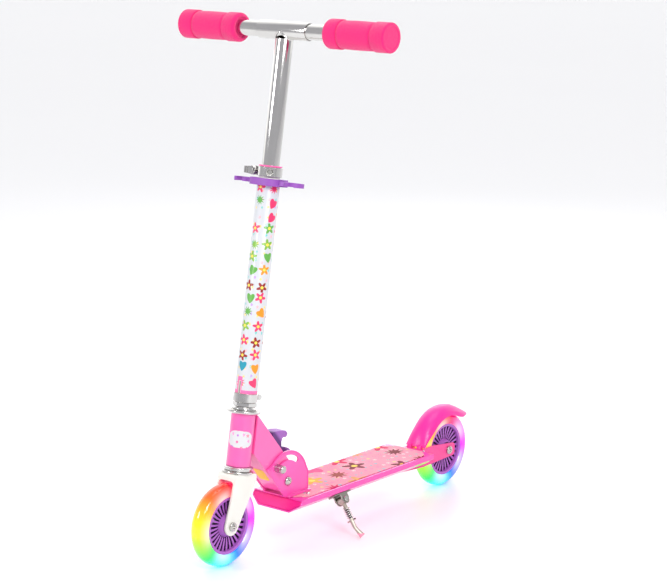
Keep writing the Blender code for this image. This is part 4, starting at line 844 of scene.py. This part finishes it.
def radial_copies(name, part, count, radius, look, place):
    """Copies of a part standing on a circle, as one plain mesh."""
    tree = bpy.data.node_groups.new(name, "GeometryNodeTree")
    tree.interface.new_socket("Geometry", in_out="OUTPUT", socket_type="NodeSocketGeometry")
    given = {"Part": ("Object", part), "Count": ("Int", count), "Radius": ("Float", radius)}
    given["Finish"] = ("Material", LOOKS[look])
    for label, (kind, _) in given.items():
        tree.interface.new_socket(label, in_out="INPUT", socket_type=f"NodeSocket{kind}")

    def step(kind, output=0, **sources):
        made = tree.nodes.new(kind)
        for label, source in sources.items():
            tree.links.new(source, made.inputs[label])
        return made.outputs[output] if made.outputs else None

    sizes = tree.nodes.new("NodeGroupInput").outputs
    circle = step("GeometryNodeMeshCircle", Vertices=sizes["Count"], Radius=sizes["Radius"])
    turn = step("FunctionNodeAlignEulerToVector", Vector=step("GeometryNodeInputPosition"))
    turn.node.axis = "X"
    turn.node.pivot_axis = "Z"
    shape = step("GeometryNodeObjectInfo", "Geometry", Object=sizes["Part"])
    copies = step("GeometryNodeInstanceOnPoints", Points=circle, Instance=shape, Rotation=turn)
    real = step("GeometryNodeRealizeInstances", Geometry=copies)
    painted = step("GeometryNodeSetMaterial", Geometry=real, Material=sizes["Finish"])
    step("NodeGroupOutput", Geometry=painted)
    holder = add_object(name, bpy.data.meshes.new(name))
    modifier = holder.modifiers.new("copies", "NODES")
    modifier.node_group = tree
    for socket in tree.interface.items_tree:
        if socket.in_out == "INPUT":
            modifier[socket.identifier] = given[socket.name][1]
    bpy.context.view_layer.update()
    seen = holder.evaluated_get(bpy.context.evaluated_depsgraph_get())
    mesh = bpy.data.meshes.new_from_object(seen)
    bpy.data.objects.remove(holder)
    mesh.transform(place)
    return add_object(name, mesh)


BLADES = 28
FAN_START = HUB_RADIUS + 2.2 * MM
blade_length = RIM_INNER - HUB_RADIUS - 2 * MM
blade = add_object("blade_pattern", blade_mesh(0, blade_length, 3.8 * MM, 12 * MM))
for end in AXLES:
    fan = radial_copies(f"{end}_fan", blade, BLADES, FAN_START, "fan_plastic", wheel_place(end))
    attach(fan, f"{end}_wheel")
    print(fan.name, len(fan.data.polygons), "faces")
bpy.data.objects.remove(blade)


# %% Bearings, axle bolts and nuts
def bearing(end, side):
    """A ball bearing's two rings with the sunk shield between them."""
    node = f"{end}_bearing_{side}"
    low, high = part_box(node)
    place = Matrix.Translation(centre(node)) @ ACROSS
    half = (high.y - low.y) / 2
    race = [(4.3, -1), (6.2, -1), (6.5, -0.88), (9.3, -0.88), (9.6, -1), (11, -1)]
    profile = [(r * MM, z * half) for r, z in race]
    profile += [(r * MM, -z * half) for r, z in reversed(race)]
    stand_for(lathe(f"{node}_finished", profile, "zinc", place, 64), node)


def button_bolt(node, place):
    """A bolt with a domed head and a round socket, whose shaft runs the other way."""
    low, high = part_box(node)
    top, end = high.y, low.y
    head, shaft, socket = 6.5 * MM, 4 * MM, 2.4 * MM
    dome = [(0, top - 2.2 * MM), (socket, top - 2.2 * MM), (socket, top - 0.3 * MM)]
    dome += [(socket + 0.3 * MM, top), (head * 0.72, top - 0.15 * MM), (head * 0.92, top - 0.9 * MM)]
    dome += [(head, top - 2 * MM), (head, top - 4 * MM), (shaft, top - 4 * MM), (shaft, end), (0, end)]
    stand_for(lathe(f"{node}_finished", dome, "zinc", place, 48), node)


for end in AXLES:
    for side in SIDES:
        bearing(end, side)
    button_bolt(f"{end}_axle", wheel_place(end))
button_bolt("fold_pivot_bolt", Matrix.Translation(FOLD) @ ACROSS)


# %% [markdown]
# ## The column, from the crown race to the handles
# These parts are turned about the column's axis. Their heights and outer radii are read from the CAD
# nodes, and only their edges and small steps are new.


# %% Headset
STEERER_BORE, RACE_BORE, CUP_BORE, CUP_SKIRT = 11.7 * MM, 14 * MM, 14.3 * MM, 15.2 * MM


def turned_on_column(section, look, edge):
    """Turns a finer shape from its section, a function that bears the CAD node's name."""
    node = section.__name__
    profile = round_corners(section(*column_span(node), column_radius(node)), edge)
    stand_for(lathe(f"{node}_finished", profile, look, COLUMN), node)


def crown_race(low, high, outer):
    side = [(outer - 1.5 * MM, low), (outer, low + 1.2 * MM), (outer - 0.4 * MM, high - MM)]
    return [(RACE_BORE, low), *side, (outer - 3 * MM, high), (RACE_BORE, high)]


def lower_cup(low, high, outer):
    flange = low + 2.4 * MM
    side = [(outer - 0.8 * MM, low), (outer, low + MM), (outer - 2.2 * MM, flange)]
    return [(CUP_BORE, low), *side, (CUP_SKIRT, flange), (CUP_SKIRT, high), (CUP_BORE, high)]


def upper_cup(low, high, outer):
    base = high - 4.9 * MM
    bed = base + 2.4 * MM
    skirt = [(CUP_BORE, low), (CUP_SKIRT, low), (CUP_SKIRT, base), (outer - 2.5 * MM, base)]
    lip = [(outer, base + 1.7 * MM), (outer, high - MM)]
    lip += [(outer - 0.8 * MM, high), (outer - 2 * MM, high)]
    dish = [(outer - 3 * MM, base + 2.6 * MM), (19.3 * MM, bed), (CUP_BORE, bed)]
    return skirt + lip + dish


def headset_cone(low, high, outer):
    side = [(outer, low), (outer, low + 1.2 * MM), (outer - 2.4 * MM, high)]
    return [(RACE_BORE, low), *side, (RACE_BORE, high)]


def steerer_tube(low, high, outer):
    return [(STEERER_BORE, low), (outer, low), (outer, high), (STEERER_BORE, high)]


turned_on_column(crown_race, "chrome", 0.7 * MM)
turned_on_column(lower_cup, "chrome", 0.4 * MM)
turned_on_column(upper_cup, "chrome", 0.5 * MM)
turned_on_column(headset_cone, "chrome", 0.4 * MM)
turned_on_column(steerer_tube, "zinc", 0.5 * MM)


# %% Stem, T-sleeve, bars
STEM_BORE, STEM_RADIUS, SLEEVE_BORE, T_SLEEVE_RADIUS = 11.3 * MM, 12.6 * MM, 11.25 * MM, 12.7 * MM
BAR_BORE, BAR_RADIUS = 9.8 * MM, 11 * MM


def t_stem():
    """The stem and its cross sleeve: two touching tubes with a rounded weld bead between them."""
    low, _ = column_span("t_stem")
    height = (INTO_COLUMN @ centre("left_bar")).z
    upright = tube_profile(STEM_BORE, STEM_RADIUS, low, height - 11.9 * MM)
    stand_for(lathe("stem_tube", upright, "chrome", COLUMN), "t_stem")
    box_low, box_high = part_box("t_stem")
    half = (box_high.y - box_low.y) / 2
    cross = COLUMN @ Matrix.Translation((0, 0, height)) @ ACROSS
    level = tube_profile(SLEEVE_BORE, T_SLEEVE_RADIUS, -half, half)
    sleeve = lathe("t_sleeve", level, "chrome", cross)
    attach(sleeve, "stem")
    bead = []
    steps = 72
    for i in range(steps):
        turn = TAU * i / steps
        x, y = T_SLEEVE_RADIUS * cos(turn), T_SLEEVE_RADIUS * sin(turn)
        drop = sqrt(max(0.0, T_SLEEVE_RADIUS**2 - (x * 0.97) ** 2))
        bead.append(COLUMN @ Vector((x, y, height - drop)))
    weld = wire("stem_weld", bead, 1.3 * MM, "chrome", closed=True)
    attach(weld, "stem")
    return height


def wire(name, route, radius, look, closed=False, sides=10):
    """A round wire along a route, as a closed mesh."""
    bm = bmesh.new()
    count = len(route)
    rings = []
    side = None
    for i, spot in enumerate(route):
        before = route[i - 1] if closed or i else spot
        after = route[(i + 1) % count] if closed or i < count - 1 else spot
        ahead = (after - before).normalized()
        side = side - ahead * side.dot(ahead) if side else ahead.orthogonal()
        side.normalize()
        other = ahead.cross(side)
        turns = [TAU * k / sides for k in range(sides)]
        around = [(side * cos(a) + other * sin(a)) * radius for a in turns]
        rings.append([bm.verts.new(spot + offset) for offset in around])
    for low, high in zip(rings, rings[1:] + rings[:1] if closed else rings[1:]):
        join_rings(bm, low, high)
    if not closed:
        bm.faces.new(rings[0])
        bm.faces.new(rings[-1])
    bmesh.ops.recalc_face_normals(bm, faces=bm.faces)
    return piece_from(bm, name, look, 60)


T_HEIGHT = t_stem()


def bar(side, sign):
    """One handle's tube. Returns the place whose Z runs out along it."""
    node = f"{side}_bar"
    low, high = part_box(node)
    near, far = sorted((abs(low.y), abs(high.y)))
    outwards = Matrix.Rotation(-pi / 2 * sign, 4, "X")
    place = COLUMN @ Matrix.Translation((0, 0, T_HEIGHT)) @ outwards
    wall = tube_profile(BAR_BORE, BAR_RADIUS, near, far)
    stand_for(lathe(f"{node}_finished", wall, "chrome", place), node)
    return place


# %% [markdown]
# ## Foam grips
# Each grip is one moulded piece of foam: a thick band at each end, a soft groove beside it, and a
# slimmer waist that swells towards its middle. Its outer end is closed, with a shallow round dish.


# %% Grips
def grip(side, place):
    node = f"{side}_grip"
    low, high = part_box(node)
    start, end = sorted((abs(low.y), abs(high.y)))
    outer = min((high.x - low.x) / 2, 21 * MM)
    waist = outer - 1.3 * MM
    bore = 11.3 * MM
    lip = start + 2.2 * MM
    mouth = [(bore, lip), (bore + 2.6 * MM, lip), (bore + 3.6 * MM, start + 0.4 * MM)]
    profile = [*mouth, (outer - 5.2 * MM, start)]
    bend = 4.6 * MM
    for i in range(7):
        angle = pi / 2 * i / 6
        round_y = start + bend * (1 - cos(angle))
        profile.append((outer - bend + bend * sin(angle), round_y))
    inner_band, outer_band = start + 23 * MM, end - 24 * MM
    profile += [(outer, inner_band - MM), (outer - 0.4 * MM, inner_band - 0.2 * MM)]
    groove = [(waist - 0.7 * MM, 0.3 * MM), (waist - 0.5 * MM, 1.4 * MM)]
    profile += [(radius, inner_band + reach) for radius, reach in groove]
    waist_length = outer_band - inner_band - 4.4 * MM
    for i in range(13):
        t = i / 12
        swell = 0.5 * MM * sin(pi * t)
        profile.append((waist + swell, inner_band + 2.2 * MM + waist_length * t))
    profile += [(radius, outer_band - reach) for radius, reach in reversed(groove)]
    profile += [(outer - 0.4 * MM, outer_band + 0.2 * MM), (outer, outer_band + MM)]
    profile += [(outer, end - 2.4 * MM)]
    cap = 2 * MM
    for i in range(5):
        angle = pi / 2 * i / 4
        profile.append((outer - cap + cap * cos(angle), end - cap + cap * sin(angle)))
    dish, bore_end = end - 0.6 * MM, end - 5.7 * MM
    profile += [(outer - 4.5 * MM, end), (outer - 5.2 * MM, dish), (0, dish)]
    profile += [(0, bore_end), (bore, bore_end)]
    foam_grip = stand_for(lathe(f"{side}_grip_finished", profile, "foam", place), node)


for side, sign in SIDES.items():
    grip(side, bar(side, sign))


# %% [markdown]
# ## The lower tube and its printed film
# The tube is slotted at the front, where the clamp squeezes it. The film stops short of the slot, so a
# strip of painted steel shows round it.


# %% Tube with a slot
def slotted_tube(node, inner, outer, look, slot_half, slot_top, edge):
    """A tube whose front is open up to a height, with a wall of real thickness."""
    low, high = column_span(node)
    bm = bmesh.new()
    steps = 96
    gap = asin(slot_half / outer)
    turns = [gap + (TAU - 2 * gap) * i / steps for i in range(steps + 1)]
    levels = [low, low + edge, slot_top, slot_top + 0.01 * MM, high - edge, high]
    grid = {}
    for k, z in enumerate(levels):
        shrink = edge * 0.6 if k in (0, len(levels) - 1) else 0.0
        for i, turn in enumerate(turns):
            for wall, radius in ((0, outer - shrink), (1, inner)):
                spot = (radius * cos(turn), radius * sin(turn), z)
                grid[k, i, wall] = bm.verts.new(spot)
    last = len(levels) - 1

    def face(*corners):
        bm.faces.new([grid[corner] for corner in corners])

    for k in range(last):
        for i in range(steps):
            for wall in (0, 1):
                face((k, i, wall), (k, i + 1, wall), (k + 1, i + 1, wall), (k + 1, i, wall))
        if k >= 3:
            for wall in (0, 1):
                face((k, steps, wall), (k, 0, wall), (k + 1, 0, wall), (k + 1, steps, wall))
        elif k < 2:
            for i in (0, steps):
                face((k, i, 0), (k + 1, i, 0), (k + 1, i, 1), (k, i, 1))
        else:
            for wall in (0, 1):
                face((2, steps, wall), (3, steps, wall), (3, 0, wall), (2, 0, wall))
            face((2, steps, 0), (2, 0, 0), (2, 0, 1), (2, steps, 1))
    for k in (0, last):
        for i in range(steps):
            face((k, i, 0), (k, i + 1, 0), (k, i + 1, 1), (k, i, 1))
    face((last, steps, 0), (last, steps, 1), (last, 0, 1), (last, 0, 0))
    finish_shape(bm, COLUMN)
    return stand_for(piece_from(bm, f"{node}_finished", look), node)


tube_foot, _ = column_span("lower_tube")
slot_end, film_end = tube_foot + 29 * MM, tube_foot + 30 * MM
slotted_tube("lower_tube", 14 * MM, 15.2 * MM, "white_paint", 1.5 * MM, slot_end, 0.3 * MM)
slotted_tube("printed_sleeve", 15.5 * MM, SLEEVE_RADIUS, "printed_film", 2.5 * MM, film_end, 0.15 * MM)

# %% [markdown]
# ## Small parts
# Springs are wires wound on a helix. Two rivets hold the hinge bracket to the deck, and a rolled rim
# stiffens the edge of each hinge plate. A label on the head tube and one under the neck are thin raised
# sheets, because a painted patch would have no edge to catch the light.


# %% Springs
def coil(node, place, radius, wire_radius, low, high, turns, look):
    """A spring wound about the local Z of its place."""
    count = turns * 20
    route = []
    for i in range(count + 1):
        t = i / count
        turn = TAU * turns * t
        rise = low + (high - low) * t
        route.append(place @ Vector((radius * cos(turn), radius * sin(turn), rise)))
    stand_for(wire(f"{node}_finished", route, wire_radius, look), node)


FORWARD = Vector((1, 0, 0))
stand_axis = Vector(joints["kickstand_fold"]["axis"]).normalized()
stand_pivot = Vector(joints["kickstand_fold"]["pos_m"])
stand_down = FORWARD.cross(stand_axis).normalized()
if stand_down.z > 0:
    stand_down.negate()
STAND = place_on_axes(stand_pivot, FORWARD, stand_down.cross(FORWARD), stand_down)
FENDER_PIN = Matrix.Translation(Vector(joints["brake_press"]["pos_m"])) @ ACROSS
coil("kickstand_spring", STAND, 4.75 * MM, 0.75 * MM, 11.8 * MM, 29.6 * MM, 6, "chrome")
coil("fender_spring", FENDER_PIN, 3.4 * MM, 0.55 * MM, -4 * MM, 4 * MM, 5, "zinc")


# %% Rolled rims of the hinge plates
def hinge_rims():
    """A bead along the curved edge of each of the bracket's two plates."""
    low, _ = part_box("hinge_bracket")
    foot, back, reach = low.z + 3.5 * MM, low.x + 0.9 * MM, 44.1 * MM
    outline = [(FOLD.x + 6.5 * MM, foot), (FOLD.x + 43.4 * MM, FOLD.z + 24.6 * MM)]
    for i in range(25):
        turn = radians(44 + 116 * i / 24)
        outline.append((FOLD.x + reach * cos(turn), FOLD.z + reach * sin(turn)))
    outline += [(back, FOLD.z + 6 * MM), (back, foot)]
    for side, sign in SIDES.items():
        route = [Vector((x, sign * 19.5 * MM, z)) for x, z in outline]
        rim = wire(f"hinge_rim_{side}", route, MM, "bracket_paint", sides=12)
        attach(rim, "deck_frame")


hinge_rims()


# %% Rivets
def rivet_mesh():
    """A flattened half ball."""
    bm = bmesh.new()
    bmesh.ops.create_uvsphere(bm, u_segments=20, v_segments=10, radius=3.2 * MM)
    everything = bm.verts[:] + bm.edges[:] + bm.faces[:]
    bmesh.ops.bisect_plane(
        bm, geom=everything, plane_co=(0, 0, 0), plane_no=(0, 0, 1), clear_inner=True
    )
    bmesh.ops.holes_fill(bm, edges=[e for e in bm.edges if e.is_boundary])
    for v in bm.verts:
        v.co.z *= 0.42
    mesh = mesh_from(bm, "rivet")
    mesh.shade_smooth()
    mesh.set_sharp_from_angle(angle=radians(50))
    return mesh


rivet = add_object("rivet_pattern", rivet_mesh())
RIVET_REACH = 31 * MM
rivet_row = Vector((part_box("hinge_bracket")[0].x + 14 * MM, 0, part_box("grip_sheet")[1].z))
place = Matrix.Translation(rivet_row) @ Matrix.Rotation(pi / 2, 4, "Z")
rivets = radial_copies("front_rivets", rivet, 4, RIVET_REACH, "chrome", place)
bm = bmesh.new()
bm.from_mesh(rivets.data)
on_centreline = [v for v in bm.verts if abs(v.co.y) < RIVET_REACH / 2]
bmesh.ops.delete(bm, geom=on_centreline, context="VERTS")
bm.to_mesh(rivets.data)
bm.free()
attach(rivets, "deck_frame")
bpy.data.objects.remove(rivet)


# %% Heads of the fender's hinge pin
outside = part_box("fender_hinge_pin")[1].y
dome = [(0, -1), (3.4, -1), (3.4, 0.4), (2.6, 1.1), (1.2, 1.4), (0, 1.4)]
dome = [(radius * MM, height * MM) for radius, height in dome]
for side, sign in SIDES.items():
    place = Matrix.Translation((0, sign * outside, 0)) @ Matrix.Translation(FENDER_PIN.translation)
    place = place @ Matrix.Rotation(-pi / 2 * sign, 4, "X")
    pin_head = lathe(f"fender_pin_head_{side}", dome, "chrome", place, 32)
    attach(pin_head, "deck_frame")


# %% Labels without lettering
def head_label():
    """A thin curved patch with rounded corners on the head tube."""
    low, high, skins = 111 * MM, 135 * MM, (17.55 * MM, 17.75 * MM)
    half_angle, middle = radians(60), radians(36)
    across_steps, up_steps = 40, 16
    bm = bmesh.new()
    rows = []
    for k in range(up_steps + 1):
        v = k / up_steps * 2 - 1
        row = []
        for i in range(across_steps + 1):
            u = i / across_steps * 2 - 1
            turn = middle + half_angle * u * (1 - 0.18 * abs(v) ** 4)
            rise = (low + high) / 2 + (high - low) / 2 * v * (1 - 0.25 * abs(u) ** 4)
            spots = [(r * cos(turn), r * sin(turn), rise) for r in skins]
            row.append([bm.verts.new(spot) for spot in spots])
        rows.append(row)

    def face(*corners):
        bm.faces.new([rows[k][i][skin] for k, i, skin in corners])

    for k in range(up_steps):
        for i in range(across_steps):
            for skin in (0, 1):
                face((k, i, skin), (k, i + 1, skin), (k + 1, i + 1, skin), (k + 1, i, skin))
        for i in (0, across_steps):
            face((k, i, 0), (k + 1, i, 0), (k + 1, i, 1), (k, i, 1))
    for k in (0, up_steps):
        for i in range(across_steps):
            face((k, i, 0), (k, i + 1, 0), (k, i + 1, 1), (k, i, 1))
    finish_shape(bm, COLUMN)
    label = piece_from(bm, "head_label", "heart_label")
    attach(label, "neck")


def heart_label():
    """White paper with a few small motifs."""
    look = Finish("heart_label")
    point = look.measured_from(COLUMN_FOOT)
    height = look.dot(point, UP)
    around = look.dot(point, SIDE).math("ARCTAN2", look.dot(point, AHEAD))
    inks = [(0.85, 0.10, 0.35), (0.55, 0.20, 0.65), (0.95, 0.35, 0.60)]
    grid = (around * 2.2 + 30.6, height / 0.0085 + 0.35)
    mask, ink = cell_motifs(look, *grid, 7.0, spread(inks), 0.36)
    look.set(Base_Color=look.mix(mask, (0.68, 0.68, 0.70), ink))
    look.set(Roughness=0.3 + look.noise(300.0) * 0.1, Coat_Weight=0.5)


heart_label()
plastic("yellow_label", (0.95, 0.66, 0.05), 0.4)
head_label()


def neck_label():
    """A small plain yellow label under the neck, just above the hinge."""
    along = Vector((cos(NECK_SLOPE), 0, sin(NECK_SLOPE)))
    out = Vector((sin(NECK_SLOPE), 0, -cos(NECK_SLOPE)))
    place = place_on_axes(FOLD + along * 33 * MM + out * 17.62 * MM, along, SIDE, out)
    bm = bmesh.new()
    rim = []
    for i in range(48):
        turn = TAU * i / 48
        across, up = cos(turn), sin(turn)
        soft = (across**6 + up**6) ** (-1 / 6)
        rim.append(bm.verts.new((13 * MM * across * soft, 10 * MM * up * soft, 0)))
    sheet = bm.faces.new(rim)
    raised = bmesh.ops.extrude_face_region(bm, geom=[sheet])["geom"]
    top = [v for v in raised if isinstance(v, bmesh.types.BMVert)]
    bmesh.ops.translate(bm, vec=(0, 0, 0.2 * MM), verts=top)
    finish_shape(bm, place)
    label = piece_from(bm, "neck_label", "yellow_label")
    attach(label, "neck")


neck_label()

# %% Remaining CAD nodes
NAMED = {
    "zinc": [
        "front_axle_nut", "rear_axle_nut", "fold_pivot_nut", "front_magnet_spacer",
        "rear_magnet_spacer", "fender_hinge_pin", "kickstand_rivet", "lever_pivot_pin",
        "height_snap_clip", "left_snap_clip", "right_snap_clip",
    ],
    "chrome": ["upper_ball_ring", "lower_ball_ring"],
    "front_glow": ["front_light_ring"],
    "rear_glow": ["rear_light_ring"],
}
for look, nodes in NAMED.items():
    for node in nodes:
        clean_piece(node, look, 0.25)
left = [n for n, o in frame["nodes"].items() if not o.hide_render]
print("CAD nodes still shown:", left)
